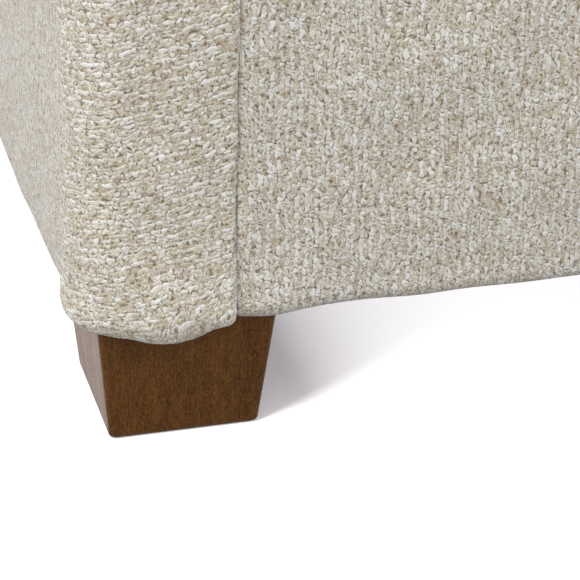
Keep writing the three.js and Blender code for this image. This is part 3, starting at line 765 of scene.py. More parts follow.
def seam_dip(to_seam, height, inset, roll):
    """How far the cloth is drawn in beside a seam: everywhere by a shallow groove, and on
    the face also by a roll of the given width and a narrow gap, which fade in over the
    lowest 5 mm and out over the 10 mm below the rim."""
    fade = np.clip((height - hem_bottom) / (5 * mm), 0, 1) * (inset < hem_radius)
    fade = fade * np.clip((rim_top - rim_radius - height) / (10 * mm), 0, 1)
    deep = roll_depth * near(to_seam, roll) + gap_depth * near(to_seam, gap_reach)
    return groove_depth * near(to_seam, groove_reach) + deep * fade[:, None]


def softened(values, reach):
    """A line of values, each mixed with its neighbours up to reach steps away."""
    window = np.hanning(2 * reach + 1)
    return np.convolve(np.pad(values, reach, mode="edge"), window / window.sum(), "valid")


corner_spacing = 0.8 * mm
corner_tilt = 10  # how far its yarns are turned from level, in degrees
corner_roll = 1.8 * mm
corner_uneven, corner_lumps = 0.3 * mm, 45 * mm
yarn_relief, yarn_level = 0.35 * mm, 0.6  # yarn of this height lies in the panel's surface
face_swell = 1.8 * mm
hem_swell, hem_reach = 5.6 * mm, 26 * mm
front_hem_swell, front_hem_reach = 1.0 * mm, 20 * mm
hem_sag, sag_reach = 3.0 * mm, 16 * mm
# How full the corner panel's hem is, at each tenth of its width from the end's seam.
corner_fullness = [0.33, 0.43, 0.40, 0.42, 0.47, 0.58, 0.92, 1.0, 0.82, 0.45, 0.38]
tenths = np.linspace(0, 1, len(corner_fullness))
softening = 6  # steps of the grid

for number, (place, (sx, sy)) in enumerate(corners.items()):
    plan, width = corner_plan(sx, sy, corner_radius)
    across = np.linspace(0, width, round(width / corner_spacing) + 1)
    inset, height, down = evenly(box_face, corner_spacing)
    cloth = cloth_places(across, down, corner_tilt, 10 * number)
    from_end_seam = across if sx * sy > 0 else width - across
    pillow = softened(np.interp(from_end_seam / width, tenths, corner_fullness), softening)[None, :]
    hem = near(height - hem_bottom, hem_reach)[:, None] * (inset < hem_radius)[:, None]
    face = (height < rim_top - rim_radius)[:, None] * 1.0
    front_hem = near(width - from_end_seam, front_hem_reach)[None, :] * hem
    swell = pillow * (face_swell * face + hem_swell * hem) + front_hem_swell * front_hem
    low_down = near(height - hem_bottom, sag_reach)[:, None] * (inset < 2 * hem_radius)[:, None]
    to_seam = np.minimum(across, width - across)[None, :]
    swell = swell - seam_dip(to_seam, height, inset, corner_roll)
    swell = swell + corner_uneven * drift(across[None, :], down[:, None], corner_lumps, number)
    swell = swell + yarn_relief * (weave_height(cloth[..., 0], cloth[..., 1]) - yarn_level)
    panel = sewn_panel(
        "padded_corner_" + place,
        plan,
        across,
        (inset, height, down),
        np.concatenate([box_behind, [(inset[0], pinched[1])]]),
        swell,
        hem_sag * pillow * low_down,
        cloth,
        tweed_over_relief_painted_shade,
    )
    fitted(panel, "box", "tweed", "cover_corner_" + place)


def between_seams(reach, spacing):
    """Places from one seam to the other, closer together next to both seams."""
    close = np.array([0, 0.5, 1.0, 1.6, 2.4, 3.4, 4.8, 6.4]) * mm
    open_reach = reach - 8.2 * mm
    middle = np.linspace(-open_reach, open_reach, round(2 * open_reach / spacing) + 1)
    return np.concatenate([close - reach, middle, reach - close[::-1]])


# For each wide side, the half of its axis that it lies on, and whether it runs along X.
sides = {"front": (-1, True), "back": (1, True), "left": (-1, False), "right": (1, False)}
wide_spacing = 2.0 * mm
wide_tilt = 90
wide_roll = 4.5 * mm
wide_uneven, wide_lumps = 0.4 * mm, 60 * mm
wide_swell, simulated_step = 3.0 * mm, 14 * mm
held_below_face = 20 * mm
bulge_from_seam, wide_hem_reach = 18 * mm, 22 * mm
# How far the hem stands out there, on the long sides and the ends, and its reach along it.
long_side_bulge, end_hollow = (2.2 * mm, 14 * mm), (-1.5 * mm, 24 * mm)
wide_face = np.concatenate([[(hem_return, staple_level)], box_face])

for number, (place, (sign, along_x)) in enumerate(sides.items()):
    plan = straight_plan(sign, along_x)
    reach = seam_x if along_x else seam_y
    across = between_seams(reach, wide_spacing)
    inset, height, down = outside = evenly(wide_face, wide_spacing)
    to_seam = (reach - np.abs(across))[None, :]
    hem = near(height - hem_bottom, wide_hem_reach)[:, None] * (inset < hem_radius)[:, None]
    held_from = down[np.argmin(inset)] - held_below_face
    held_to = down[np.argmax(height >= rim_top - rim_radius)]
    swell = wide_swell * panel_swell(plan, across, outside, (held_from, held_to), simulated_step)
    bulge, bulge_reach = long_side_bulge if along_x else end_hollow
    swell = swell + bulge * hem * near(to_seam - bulge_from_seam, bulge_reach)
    swell = swell - seam_dip(to_seam, height, inset, wide_roll)
    uneven = wide_uneven * np.clip((rim_top - height) / (5 * mm), 0, 1)[:, None]
    swell = swell + uneven * drift(across[None, :], down[:, None], wide_lumps, 50 + number)
    # Where it is stapled under the frame, it lies flat.
    stapled = (height < hem_bottom + 15 * mm) * np.clip((inset - 18 * mm) / (4 * mm), 0, 1)
    panel = sewn_panel(
        "padded_cover_" + place,
        plan,
        across,
        outside,
        np.concatenate([box_behind, [(hem_return, pinched[1])]]),
        swell * (1 - stapled)[:, None],
        0,
        cloth_places(across, down, wide_tilt, 100 + 10 * number),
        tweed,
    )
    fitted(panel, "box", "tweed", "cover_" + place, "wadding_" + place)

# ---- Lid -------------------------------------------------------------------------------
# A slab of foam on a board, covered in the same tweed: a boxing of eight panels round its
# sides, sewn to one top panel, with the seams in line with those of the box.

lid_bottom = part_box("lid_cover_boxing")[0].z
lid_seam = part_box("lid_cover_top")[0].z
lid_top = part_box("lid_cover_top")[1].z
lid_edge = 14 * mm
lid_shoulder = 26 * mm
lid_return = 45 * mm
behind_boxing = 12.4 * mm
under_cloth = 3 * mm
boxing_spacing = 2.4 * mm
boxing_swell, boxing_simulated_step = 2.6 * mm, 6 * mm
top_groove = (1.4 * mm, 2.5 * mm)  # how deep the seam with the top draws it in, and how far
held_ends = (24 * mm, 1 * mm)  # of the boxing, at the stapled edge and at the top seam
flat_end, swell_start = 34 * mm, 14 * mm  # flat from the stapled edge, then filling out
crown = 8 * mm  # of the top panel's middle over its edge
edge_drop = 4 * mm

boxing_face = np.concatenate(
    [
        [(lid_return, lid_bottom)],
        bend(lid_edge, lid_bottom + lid_edge, lid_edge, -90, -180),
        [(0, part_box("lid_cover_boxing")[1].z)],
    ]
)
boxing_behind = np.array(
    [
        (behind_boxing, boxing_face[-1, 1]),
        (behind_boxing, lid_bottom + under_cloth),
        (lid_return, lid_bottom + under_cloth),
    ]
)
for number, place in enumerate([*sides, *corners]):
    if place in sides:
        sign, along_x = sides[place]
        plan = straight_plan(sign, along_x)
        across = between_seams(seam_x if along_x else seam_y, boxing_spacing)
        spacing, tilt = boxing_spacing, wide_tilt
    else:
        plan, width = corner_plan(*corners[place], corner_radius)
        across = np.linspace(0, width, round(2 * width / boxing_spacing) + 1)
        spacing, tilt = boxing_spacing / 2, corner_tilt
    inset, height, down = outside = evenly(boxing_face, spacing)
    to_seam = np.minimum(across - across[0], across[-1] - across)[None, :]
    to_top = (down[-1] - down)[:, None]
    free = (held_ends[0], down[-1] - held_ends[1])
    swell = boxing_swell * panel_swell(plan, across, outside, free, boxing_simulated_step)
    swell = swell - groove_depth * near(to_seam, groove_reach) - top_groove[0] * near(to_top, top_groove[1])
    swell = swell + wide_uneven * drift(across[None, :], down[:, None], wide_lumps, 80 + number)
    swell = swell * np.clip((down - flat_end) / swell_start, 0, 1)[:, None]
    cloth = cloth_places(across, down, tilt, 300 + 10 * number)
    panel = sewn_panel(
        "lid_boxing_" + place, plan, across, outside, boxing_behind, swell, 0, cloth, tweed
    )
    fitted(panel, "lid", "tweed", "lid_cover_boxing")


def lid_loop(columns, rows, inset, rounding):
    """Points round the lid, in the order of a grid's border. The corners are quarter
    circles at the seam, and grow square as the rounding falls from 1 to 0."""
    near_corner = 20 * mm
    half = np.array([half_length - inset, half_depth - inset])
    loop = []
    for side, count in enumerate([columns, rows, columns, rows]):
        long, short = (half[0], half[1]) if side % 2 == 0 else (half[1], half[0])
        flat = np.linspace(-1, 1, count)[:-1] * long
        radius = max(corner_radius - inset, least_radius)
        to_end = np.clip((long - np.abs(flat)) / near_corner, 0, 1)
        angle = (1 - to_end) * np.pi / 4
        along = np.where(
            to_end < 1,
            long - radius + radius * np.sin(angle),
            np.abs(flat) / (long - near_corner) * (long - radius),
        )
        away = np.where(to_end < 1, short - radius + radius * np.cos(angle), short)
        along = np.sign(flat) * (along * rounding + np.abs(flat) * (1 - rounding))
        away = away * rounding + short * (1 - rounding)
        turned = {0: (along, -away), 1: (away, along), 2: (-along, away), 3: (-away, -along)}[side]
        loop.append(np.stack(turned, axis=1))
    return np.concatenate(loop)


# The middle of the top panel: a grid inside the shoulder, raised to a crown.
top_spacing = 3.2 * mm
flat_edge = np.array([half_length - lid_shoulder, half_depth - lid_shoulder])
columns, rows = (round(2 * edge / top_spacing) + 1 for edge in flat_edge)
flat_x = np.linspace(-1, 1, columns) * flat_edge[0]
flat_y = np.linspace(-1, 1, rows) * flat_edge[1]
grid_x, grid_y = np.meshgrid(flat_x, flat_y)

simulated_columns, simulated_rows = 60, 40  # about
coarse_x, coarse_y = np.meshgrid(flat_x[:: columns // simulated_columns], flat_y[:: rows // simulated_rows])
held = np.zeros(coarse_x.shape, bool)
held[[0, -1], :] = True
held[:, [0, -1]] = True
pressed = blown_up(np.stack([coarse_x, coarse_y, np.zeros_like(coarse_x)], axis=-1), held)
rows_at = np.linspace(0, pressed.shape[0] - 1, rows)
crown_shape = drawn_out(pressed, rows_at, np.linspace(0, pressed.shape[1] - 1, columns))
to_edge = np.minimum(flat_edge[0] - np.abs(grid_x), flat_edge[1] - np.abs(grid_y))
rise = (crown - edge_drop) * crown_shape - edge_drop * near(to_edge, 90 * mm) * (1 - crown_shape)
rise = rise + 0.5 * mm * drift(grid_x, grid_y, 110 * mm, 71) * (1 - near(to_edge, 20 * mm))
middle = np.stack([grid_x, grid_y, lid_top + rise], axis=-1).reshape(-1, 3)

# The shoulder: loops from the seam round to the middle's border.
shoulder_face = [[(0, lid_seam)], bend(lid_shoulder, lid_top - lid_shoulder, lid_shoulder, 180, 90)]
shoulder_spacing = 2.0 * mm
inset, height, down = evenly(np.concatenate(shoulder_face), shoulder_spacing)
seam_pull = 1.8 * mm * near(down, 3.5 * mm)
fade = (down / down[-1]) ** 2
border = np.concatenate(
    [
        np.arange(columns - 1),
        np.arange(rows - 1) * columns + columns - 1,
        (rows - 1) * columns + np.arange(columns - 1, 0, -1),
        np.arange(rows - 1, 0, -1) * columns,
    ]
)
edge_rise = middle[border, 2] - lid_top
rings = []
for level in (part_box("lid_board")[1].z + over_edge, lid_seam):
    round_core = lid_loop(columns, rows, wadding_inset, 1.0)
    rings.append(np.column_stack([round_core, np.full(len(border), level)]))
for i in range(len(down) - 1):
    rounding = 1 - (inset[i] / lid_shoulder) ** 2
    outline = lid_loop(columns, rows, inset[i] + seam_pull[i], rounding)
    rings.append(np.column_stack([outline, height[i] + edge_rise * fade[i]]))
points = np.concatenate([middle] + rings)
faces = grid_faces(rows, columns)
starts = len(middle) + np.arange(len(rings)) * len(border)
ring_points = [start + np.arange(len(border)) for start in starts] + [border]
for low, high in zip(ring_points[:-1], ring_points[1:]):
    faces += np.stack([low, np.roll(low, -1), np.roll(high, -1), high], axis=1).tolist()
faces.append(ring_points[0][::-1].tolist())

# The cloth coordinates of the shoulder are those of the top, drawn out over its edge.
unrolled = (down[-1] - down) / np.maximum(lid_shoulder - inset, 0.1 * mm)
draw_rings = np.repeat([unrolled[0]] * 2 + list(unrolled[:-1]), len(border))
draw = np.concatenate([np.ones(len(middle)), draw_rings])
away = np.abs(points[:, :2])
cloth = np.minimum(away, flat_edge) + np.maximum(away - flat_edge, 0) * draw[:, None]
cloth = cloth * np.sign(points[:, :2])
wander = [0.6 * mm * drift(*cloth.T, size, seed) for size, seed in zip(long_waves, (60, 61))]
cushion = mesh_piece("lid_top_cushion", points, faces, tweed, cloth + np.stack(wander, axis=1))
fitted(cushion, "lid", "tweed", "lid_cover_top", "lid_foam")

# ---- Feet ------------------------------------------------------------------------------
# Solid beech blocks, tapered, with eased edges, stained walnut brown and lacquered.

pore_grain, pore_share = (1100, 1100, 30), 0.62  # lumps in a metre, and their part in it
ring_grain, ring_share = (130, 130, 9), 0.38
ray_grain = (1500, 1500, 580)
grain_depth = 0.1 * mm


def wood_grain_group():
    """Wood along the third axis of its place, which is in metres: a value from 0, in the
    dark pores and late wood, to 1, and a colour between two tones. Fleck is how far the
    rays change the value."""
    tree, entry, result = shader_group(
        "wood_grain",
        {"Place": "Vector", "Dark": "Color", "Light": "Color", "Fleck": "Float"},
        {"Value": "Float", "Color": "Color"},
    )
    pores = noise(entry["Place"] * pore_grain, 1.0, 4, 0.65)
    rings = noise(entry["Place"] * ring_grain, 1.0, 3)
    rays = noise(entry["Place"] * ray_grain, 1.0, 1)
    value = pores * pore_share + rings * ring_share + (rays - 0.5) * entry["Fleck"]
    value = risen(value, 0.3, 0.72)
    lead(value, result["Value"])
    lead(mixed(value, entry["Dark"], entry["Light"]), result["Color"])
    return tree


wood_grain = wood_grain_group()


def object_place(tree):
    """Object coordinates, in metres."""
    return shader_value(tree, "TexCoord", output="Object")


def turned_place(tree, order):
    """Object coordinates with their axes in another order, such as "yzx"."""
    place = dict(zip("xyz", object_place(tree).parts()))
    return shader_value(tree, "CombineXYZ", {i: place[axis] for i, axis in enumerate(order)})


def wood_material(name, order, dark, light, roughness, specular, fleck):
    """Wood whose grain runs along the last axis of order."""
    material, tree, surface = new_material(name, {"Specular IOR Level": specular})
    place = turned_place(tree, order)
    grain = use_group(tree, wood_grain, {"Place": place, "Dark": dark, "Light": light, "Fleck": fleck})
    color_and_bump(surface, grain["Color"], grain["Value"], grain_depth, 0.6)
    lead(grain["Value"] * -0.12 + (roughness + 0.06), surface["Roughness"])
    return material


def dress(names, material):
    """Gives CAD nodes a material."""
    for name in names:
        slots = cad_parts[name].data.materials
        slots.clear()
        slots.append(material)


walnut_dark, walnut_light = (0.042, 0.0143, 0.0024, 1), (0.153, 0.0643, 0.0137, 1)
walnut_stain = wood_material(
    "walnut_stain", "xyz", walnut_dark, walnut_light, roughness=0.36, specular=0.07, fleck=0.68
)
dress(["foot_" + place for place in corners], walnut_stain)

# ---- Box of boards and battens ---------------------------------------------------------
# Birch plywood panels and boards on pine battens and glued corner blocks. The plies show
# on the boards' edges.

pine = {
    "dark": (0.44, 0.27, 0.12, 1),
    "light": (0.70, 0.52, 0.30, 1),
    "roughness": 0.62,
    "specular": 0.35,
    "fleck": 0.05,
}
pine_along_x = wood_material("pine_along_x", "yzx", **pine)
pine_along_y = wood_material("pine_along_y", "xzy", **pine)
dress(["batten_front", "batten_back", *("corner_block_" + place for place in corners)], pine_along_x)
dress(["batten_left", "batten_right", "floor_stretcher"], pine_along_y)

ply_thickness = 1.5 * mm
birch_dark, birch_light = (0.52, 0.37, 0.21, 1), (0.76, 0.62, 0.43, 1)
brown_dark, brown_light = (0.38, 0.24, 0.12, 1), (0.56, 0.39, 0.22, 1)


def plywood_material(name, upright):
    """Birch plywood: pale and brown plies in turn through its thickness, which is the
    inset from the outline of the box for upright panels, and the height for boards."""
    material, tree, surface = new_material(name, {"Roughness": 0.6})
    x, y, z = object_place(tree).parts()
    through = combine("MINIMUM", half_length - abs(x), half_depth - abs(y)) if upright else z
    ply = combine("PINGPONG", through, ply_thickness)
    brown = combine("GREATER_THAN", ply, ply_thickness / 2)
    inputs = {
        "Place": turned_place(tree, "yxz" if upright else "yzx"),
        "Dark": mixed(brown, birch_dark, brown_dark),
        "Light": mixed(brown, birch_light, brown_light),
        "Fleck": 0.05,
    }
    grain = use_group(tree, wood_grain, inputs)
    color_and_bump(surface, grain["Color"], grain["Value"], grain_depth, 0.5)
    return material


dress(["panel_" + side for side in sides], plywood_material("plywood_upright", True))
dress(["floor_board", "lid_board"], plywood_material("plywood_flat", False))

# ---- Storage lining --------------------------------------------------------------------
# Natural cotton on the inside of the four walls and the floor: five pieces glued to the
# boards, with their upper edges under the turned-down tweed.

warp_slubs, weft_slubs, slub_tone = (60, 1400, 1), (1400, 60, 1), 0.35
plain_tone, crown_shade_tone = 0.56, 0.12


def toned(color, tone):
    """A colour times a tone, which leaves it as it is where it is 1."""
    gray = shader_value(tone.tree, "CombineXYZ", dict.fromkeys(range(3), tone))
    return mixed(1.0, color, gray, "MULTIPLY")


def plain_weave_group():
    """A fine plain weave on cloth coordinates in metres: its height, the sine along the
    warp times the sine along the weft, and its colour with slightly uneven threads, lighter where the weave
    stands high and darker between, which is painted shade."""
    tree, entry, result = shader_group(
        "plain_weave",
        {"Cloth": "Vector", "Thread": "Float", "Color": "Color"},
        {"Color": "Color", "Height": "Float"},
    )
    x, y, _ = entry["Cloth"].parts()
    warp, weft = (combine("SINE", way * np.pi / entry["Thread"]) for way in (x, y))
    height = abs(warp * weft)
    slubs = noise(entry["Cloth"] * warp_slubs, 1.0) + noise(entry["Cloth"] * weft_slubs, 1.0)
    # Lighter on the weave's crowns and darker between them: painted shade.
    uneven = height * crown_shade_tone + (slubs * slub_tone + plain_tone)
    lead(toned(entry["Color"], uneven), result["Color"])
    lead(height + uneven, result["Height"])
    return tree


plain_weave = plain_weave_group()


def plain_cloth_material(name, color, thread, depth, roughness):
    """Plain cloth, with the width of its threads and the depth of its weave in metres."""
    constants = {"Roughness": roughness, "Sheen Weight": 0.1, "Specular IOR Level": 0.25}
    material, tree, surface = new_material(name, constants)
    cloth = shader_value(tree, "UVMap", uv_map="cloth")
    weave = use_group(tree, plain_weave, {"Cloth": cloth, "Thread": thread, "Color": color})
    color_and_bump(surface, weave["Color"], weave["Height"], depth, 0.8)
    return material


calico = plain_cloth_material(
    "natural_calico", (0.70, 0.64, 0.53, 1), thread=0.8 * mm, depth=0.25 * mm, roughness=0.9
)
sheet_step = 8 * mm  # of its grid
long_wrinkle, short_wrinkle = 130 * mm, 45 * mm
flat_rim = 12 * mm


def spaced(low, high, spacing):
    """Values from low to high, about the spacing apart."""
    return np.linspace(low, high, max(1, round((high - low) / spacing)) + 1)


def two_layers(faces, count):
    """The faces of a closed thin sheet, from those of its visible layer: the same in the
    other layer, turned over, and a wall along every free edge."""
    edges = np.concatenate([faces[:, [i, (i + 1) % 4]] for i in range(4)])
    keys = edges.min(axis=1) * count + edges.max(axis=1)
    _, first, times = np.unique(keys, return_index=True, return_counts=True)
    start, end = edges[first[times == 1]].T
    walls = np.stack([end, start, start + count, end + count], axis=1)
    return np.concatenate([faces, faces[:, ::-1] + count, walls])


def flat_sheet(name, origin, along, beside, facing, thickness, wrinkle, seed, material, notch=0):
    """A thin closed sheet: from its origin, along and beside are the vectors of its two
    sides, and a square of the notch's size is cut out of each corner. Its visible layer
    swells by up to its wrinkles, except along the edges."""
    length, width = np.linalg.norm(along), np.linalg.norm(beside)
    lines = []
    for size in (length, width):
        ends = [0, notch, size - notch, size] if notch else [0, size]
        steps = [spaced(low, high, sheet_step) for low, high in zip(ends, ends[1:])]
        lines.append(np.unique(np.concatenate(steps).round(7)))
    uu, vv = np.meshgrid(*lines)
    along_by, beside_by = np.array(along) / length, np.array(beside) / width
    place = np.array(origin) + uu[..., None] * along_by + vv[..., None] * beside_by
    du, dv = np.minimum(uu, length - uu), np.minimum(vv, width - vv)
    from_notch = np.hypot(np.maximum(du - notch, 0), np.maximum(dv - notch, 0))
    from_edge = np.minimum(np.minimum(du, dv), from_notch)
    long_wave, short_wave = drift(uu, vv, long_wrinkle, seed), drift(uu, vv, short_wrinkle, seed + 1)
    wave = np.clip(0.5 + 0.35 * long_wave + 0.15 * short_wave, 0, 1.3)
    rise = thickness + wrinkle * wave * (1 - near(from_edge, flat_rim))
    front = place + rise[..., None] * np.array(facing)
    faces = np.array(grid_faces(len(lines[1]), len(lines[0])))
    middle = [values.ravel()[faces].mean(axis=1) for values in (du, dv)]
    faces = faces[(middle[0] > notch) | (middle[1] > notch)]
    if np.dot(np.cross(along, beside), facing) < 0:
        faces = faces[:, ::-1]
    faces = two_layers(faces, uu.size)
    used, faces = np.unique(faces, return_inverse=True)
    points = np.concatenate([front.reshape(-1, 3), place.reshape(-1, 3)])[used]
    cloth = np.tile(np.stack([uu, vv], axis=-1).reshape(-1, 2), (2, 1))[used]
    return mesh_piece(name, points, faces.reshape(-1, 4).tolist(), material, cloth)


low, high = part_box("storage_lining")
calico_thickness, calico_wrinkle = 1.0 * mm, 0.45 * mm
floor_gap = 0.2 * mm  # round the floor's piece
wall_gap, wall_foot = 1.5 * mm, 1.6 * mm  # at the end and the foot of a wall's piece
depth_in, length_in = high.y - low.y - 2 * floor_gap, high.x - low.x - 2 * floor_gap
wall_along_x, wall_along_y = (length_in - 2.6 * mm, 0, 0), (0, depth_in - 2.6 * mm, 0)
wall_up = (0, 0, high.z - low.z - 1.7 * mm)
wall_x, wall_y, wall_z = low.x + wall_gap, low.y + wall_gap, low.z + wall_foot
floor_origin = (low.x + floor_gap, low.y + floor_gap, low.z)
# Each piece's board, origin, two sides, and the way that it faces.
lining_faces = {
    "floor": ("floor_board", floor_origin, (length_in, 0, 0), (0, depth_in, 0), (0, 0, 1)),
    "front": ("panel_front", (wall_x, low.y, wall_z), wall_along_x, wall_up, (0, 1, 0)),
    "back": ("panel_back", (wall_x, high.y, wall_z), wall_along_x, wall_up, (0, -1, 0)),
    "left": ("panel_left", (low.x, wall_y, wall_z), wall_along_y, wall_up, (1, 0, 0)),
    "right": ("panel_right", (high.x, wall_y, wall_z), wall_along_y, wall_up, (-1, 0, 0)),
}
for number, (place, (board, origin, *ways)) in enumerate(lining_faces.items()):
    lining = flat_sheet(
        "lining_" + place, origin, *ways, calico_thickness, calico_wrinkle, 200 + number, calico
    )
    fitted(lining, "box", "lining_cloth", "storage_lining")

# ---- Lid lining ------------------------------------------------------------------------
# The same cotton under the lid's board, stapled over the raw edges of the tweed.


def level_sheet(name, node, thickness, wrinkle, seed, material, notch=0):
    """A sheet under a board, as large as the CAD node that it stands for. Gives its size
    too."""
    low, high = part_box(node)
    length, width = high.x - low.x, high.y - low.y
    ways = (length, 0, 0), (0, width, 0), (0, 0, -1)
    origin = (low.x, low.y, high.z)
    sheet = flat_sheet(name, origin, *ways, thickness, wrinkle, seed, material, notch)
    return sheet, (length, width)


lid_cloth, lid_cloth_size = level_sheet(
    "lid_lining_cloth", "lid_lining", thickness=1.1 * mm, wrinkle=0.35 * mm, seed=220, material=calico
)
fitted(lid_cloth, "lid", "lining_cloth", "lid_lining")

# ---- Zinc-plated steel -----------------------------------------------------------------
# The continuous hinge's leaves are steel strip rolled round its pin, and a hanger bolt in a
# tee nut holds each foot. They are plated with zinc, and so are the staples and screws.

drift_grain = 35  # lumps in a metre


def mottle_group():
    """Fine unevenness of a made surface at two sizes: its height, and a tone round 1 that
    drifts over a few centimetres."""
    tree, entry, result = shader_group(
        "mottle",
        {"Place": "Vector", "Grains": "Float", "Drift": "Float"},
        {"Height": "Float", "Tone": "Float"},
    )
    fine = noise(entry["Place"], entry["Grains"], 3, 0.6)
    wide = noise(entry["Place"], drift_grain, 3, 0.55)
    lead(fine + wide * 0.4, result["Height"])
    lead((wide - 0.5) * entry["Drift"] + 1.0, result["Tone"])
    return tree


mottle = mottle_group()


def made_surface(name, color, metallic, roughness, grains, drift_share, depth, stretch=(1, 1, 1)):
    """Metal, paint or rubber, with its grains' number in a metre and their depth. Its tone
    and its roughness drift by the drift's share."""
    material, tree, surface = new_material(name, {"Metallic": metallic})
    place = object_place(tree) * stretch
    uneven = use_group(tree, mottle, {"Place": place, "Grains": grains, "Drift": drift_share})
    color_and_bump(surface, toned(color, uneven["Tone"]), uneven["Height"], depth, 0.6)
    lead(uneven["Tone"] * roughness, surface["Roughness"])
    return material


plating = {
    "color": (0.60, 0.60, 0.57, 1),
    "metallic": 1.0,
    "grains": 900,
    "drift_share": 0.5,
    "depth": 0.03 * mm,
}
zinc = made_surface("zinc_plate", roughness=0.34, **plating)
zinc_strip = made_surface("zinc_strip", roughness=0.36, stretch=(0.05, 1, 1), **plating)
dress(["hinge_leaf_box", "hinge_leaf_lid", "hinge_pin"], zinc_strip)
dress([part + place for part in ("hanger_bolt_", "t_nut_") for place in corners], zinc)

# ---- Dust cover ------------------------------------------------------------------------
# Black cambric that closes the underside, cut away round the feet, with its hemmed edge
# stapled through the covers to the frame. Each staple is a flattened wire: its crown
# across, and its legs up into the frame.

cambric = plain_cloth_material(
    "black_cambric", (0.020, 0.019, 0.018, 1), thread=0.6 * mm, depth=0.15 * mm, roughness=0.95
)
low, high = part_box("dust_cover")
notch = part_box("foot_back_left")[1].x + 0.4 * mm - low.x
dust_sheet, (dust_length, dust_width) = level_sheet(
    "dust_cover_cloth",
    "dust_cover",
    thickness=0.6 * mm,
    wrinkle=1.5 * mm,
    seed=230,
    material=cambric,
    notch=notch,
)
fitted(dust_sheet, "box", "cambric", "dust_cover")


def alike(name, loops, material):
    """Closed shapes of one kind in one mesh. Each runs through loops of points, which go
    anticlockwise as seen from the last loop, and a face closes its first and last loop."""
    count, rows, columns = loops.shape[:3]
    ring = np.arange(rows * columns).reshape(rows, columns)
    after = np.roll(ring, -1, axis=1)
    walls = np.stack([ring[:-1], after[:-1], after[1:], ring[1:]], axis=-1).reshape(-1, 4)
    faces = []
    for start in rows * columns * np.arange(count):
        faces += (walls + start).tolist()
        faces += [(ring[0][::-1] + start).tolist(), (ring[-1] + start).tolist()]
    return mesh_piece(name, loops.reshape(-1, 3), faces, material, sharp=30)


staple_half, staple_leg = 5 * mm, 6 * mm  # half of the crown's width, and the legs' length
wire = 0.6 * mm  # its thickness, and half of its width
staple_edge, staple_step = 8 * mm, 60 * mm
to_first_staple = 20 * mm
staple_path = np.array(
    [
        (-staple_half, staple_leg),
        (-staple_half, wire),
        (-staple_half + wire, 0),
        (staple_half - wire, 0),
        (staple_half, wire),
        (staple_half, staple_leg),
    ]
)


def staples(name, places, headings, material):
    """Staples under the box, each at its place, with its crown along its heading."""
    inner = staple_path * (1 - wire / staple_half, 1) + (0, wire)
    inner[[0, -1], 1] = staple_leg
    section = np.stack([staple_path, staple_path, inner, inner], axis=1)
    places, headings = np.array(places), np.array(headings)
    beside = np.stack([-headings[:, 1], headings[:, 0], 0 * headings[:, 0]], axis=1)
    wire_across = np.array([-1, 1, 1, -1]) * wire
    points = (
        places[:, None, None]
        + section[None, :, :, :1] * headings[:, None, None]
        + wire_across[None, None, :, None] * beside[:, None, None]
        + section[None, :, :, 1:] * np.array((0, 0, 1))
    )
    return alike(name, points, material)


places, headings = [], []
crown_level = low.z - 0.9 * mm
inside = notch + to_first_staple
for x in spaced(low.x + inside, high.x - inside, staple_step):
    places += [(x, y, crown_level) for y in (low.y + staple_edge, high.y - staple_edge)]
    headings += [(1, 0, 0)] * 2
for y in spaced(low.y + inside, high.y - inside, staple_step):
    places += [(x, y, crown_level) for x in (low.x + staple_edge, high.x - staple_edge)]
    headings += [(0, 1, 0)] * 2
fitted(staples("dust_cover_staples", places, headings, zinc), "box", "zinc_steel")

# ---- Screws ----------------------------------------------------------------------------
# Cross-recessed screws: countersunk ones in the hinge and the wall brackets, and pan heads
# in the lid brackets, which have more room.

screw_shank, screw_length = 1.9 * mm, 14 * mm
countersunk = (3.9 * mm, 0.3 * mm)  # the head's radius, and how high it stands
pan_head = (3.6 * mm, 1.6 * mm)
# A quarter of the recess's outline: round the end of one arm and halfway up the next.
cross_points = np.array([(1, -0.25), (1, 0), (1, 0.25), (0.62, 0.25), (0.25, 0.25), (0.25, 0.62)])


def screws(name, places, pointing, head, material):
    """Screws with a head of some radius and height, towards pointing, over the places,
    where they leave the steel. Loops run from the shank's tip to the recess."""
    radius, height = head
    turn = np.deg2rad(15 * np.arange(-1, 23))  # the recess's outline has 24 points too
    circle = np.stack([np.cos(turn), np.sin(turn)], axis=1)
    quarters = [np.array([(c, s), (-s, c)]) for c, s in ((1, 0), (0, 1), (-1, 0), (0, -1))]
    cross = np.concatenate([cross_points @ quarter for quarter in quarters])
    recess = radius * 0.52
    deep = max(height, 1.2 * mm)
    loops = [
        (circle * 0.2 * mm, -screw_length),
        (circle * screw_shank, -screw_length + 4 * mm),
        (circle * screw_shank, -0.5 * mm),
        (circle * radius, 0),
        (circle * (radius - 0.05 * mm), height * 0.45),
        (circle * radius * 0.9, height * 0.86),
        (circle * radius * 0.72, height),
        (cross * recess, height),
        (cross * recess * 0.8, height - deep * 0.7),
        (cross * recess * 0.3, height - deep),
    ]
    flat = np.array([np.column_stack([outline, np.full(len(outline), z)]) for outline, z in loops])
    out = Vector(pointing)
    side = out.orthogonal().normalized()
    axes = np.array([side, out.cross(side), out])
    return alike(name, np.array(places)[:, None, None] + flat[None] @ axes, material)


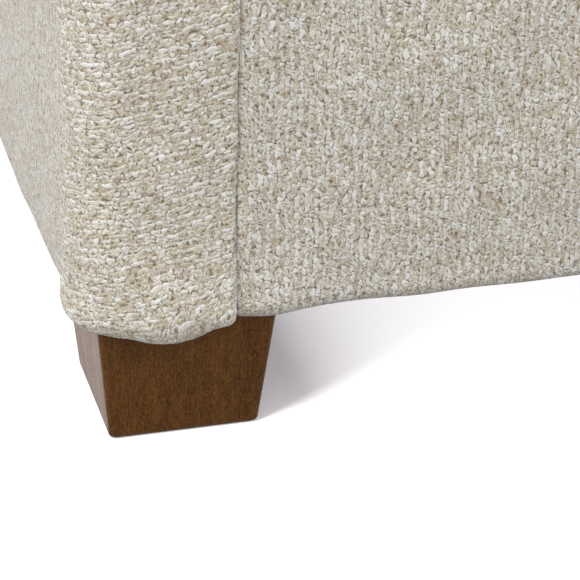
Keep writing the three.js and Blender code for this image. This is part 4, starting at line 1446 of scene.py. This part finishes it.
# Where the hinge's screws are: nine in a row along each leaf.
leaf_screw_step, leaf_screw_row = 100 * mm, 14 * mm
leaf_gap = 1.0 * mm
row_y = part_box("hinge_leaf_box")[0].y + leaf_screw_row
pin_low, pin_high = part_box("hinge_pin")
for body, way in (("box", -1), ("lid", 1)):
    leaf_face = (pin_low.z + pin_high.z) / 2 + way * leaf_gap / 2
    places = [(i * leaf_screw_step, row_y, leaf_face) for i in range(-4, 5)]
    leaf_screws = screws("hinge_screws_" + body, places, (0, 0, -way), countersunk, zinc)
    fitted(leaf_screws, body, "zinc_steel")

# ---- Folding lid stays -----------------------------------------------------------------
# Black powder-coated flat steel arms and brackets, riveted together, one at each end. Two
# screws hold each bracket.

black_steel = made_surface(
    "black_steel", (0.018, 0.018, 0.019, 1), 0.0, 0.42, grains=700, drift_share=0.9, depth=0.08 * mm
)
stay_parts = ("wall_bracket", "lower_arm", "upper_arm", "lid_bracket")
wall_plate_face, lid_flange_middle = 497.9 * mm, 479.5 * mm  # from the ottoman's middle
flange_thickness = 2.0 * mm
wall_screw_step, flange_screw_step = 22 * mm, 15 * mm  # from the bracket's middle
for end, sign in (("left_stay_", -1), ("right_stay_", 1)):
    dress([end + part for part in stay_parts], black_steel)
    low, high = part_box(end + "wall_bracket")
    x, y, z = sign * wall_plate_face, (low.y + high.y) / 2, (low.z + high.z) / 2
    places = [(x, y, z + step) for step in (-wall_screw_step, wall_screw_step)]
    wall_screws = screws(end + "wall_screws", places, (-sign, 0, 0), countersunk, black_steel)
    fitted(wall_screws, "box", "black_steel")
    low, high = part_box(end + "lid_bracket")
    x, y, z = sign * lid_flange_middle, (low.y + high.y) / 2, high.z - flange_thickness
    places = [(x, y + step, z) for step in (-flange_screw_step, flange_screw_step)]
    lid_screws = screws(end + "lid_screws", places, (0, 0, -1), pan_head, black_steel)
    fitted(lid_screws, "lid", "black_steel")

# ---- Bumpers ---------------------------------------------------------------------------
# Two discs of black rubber that the lid lands on.

rubber = made_surface(
    "black_rubber", (0.022, 0.021, 0.020, 1), 0.0, 0.72, grains=1500, drift_share=0.5, depth=0.1 * mm
)
dress(["lid_bumper_left", "lid_bumper_right"], rubber)
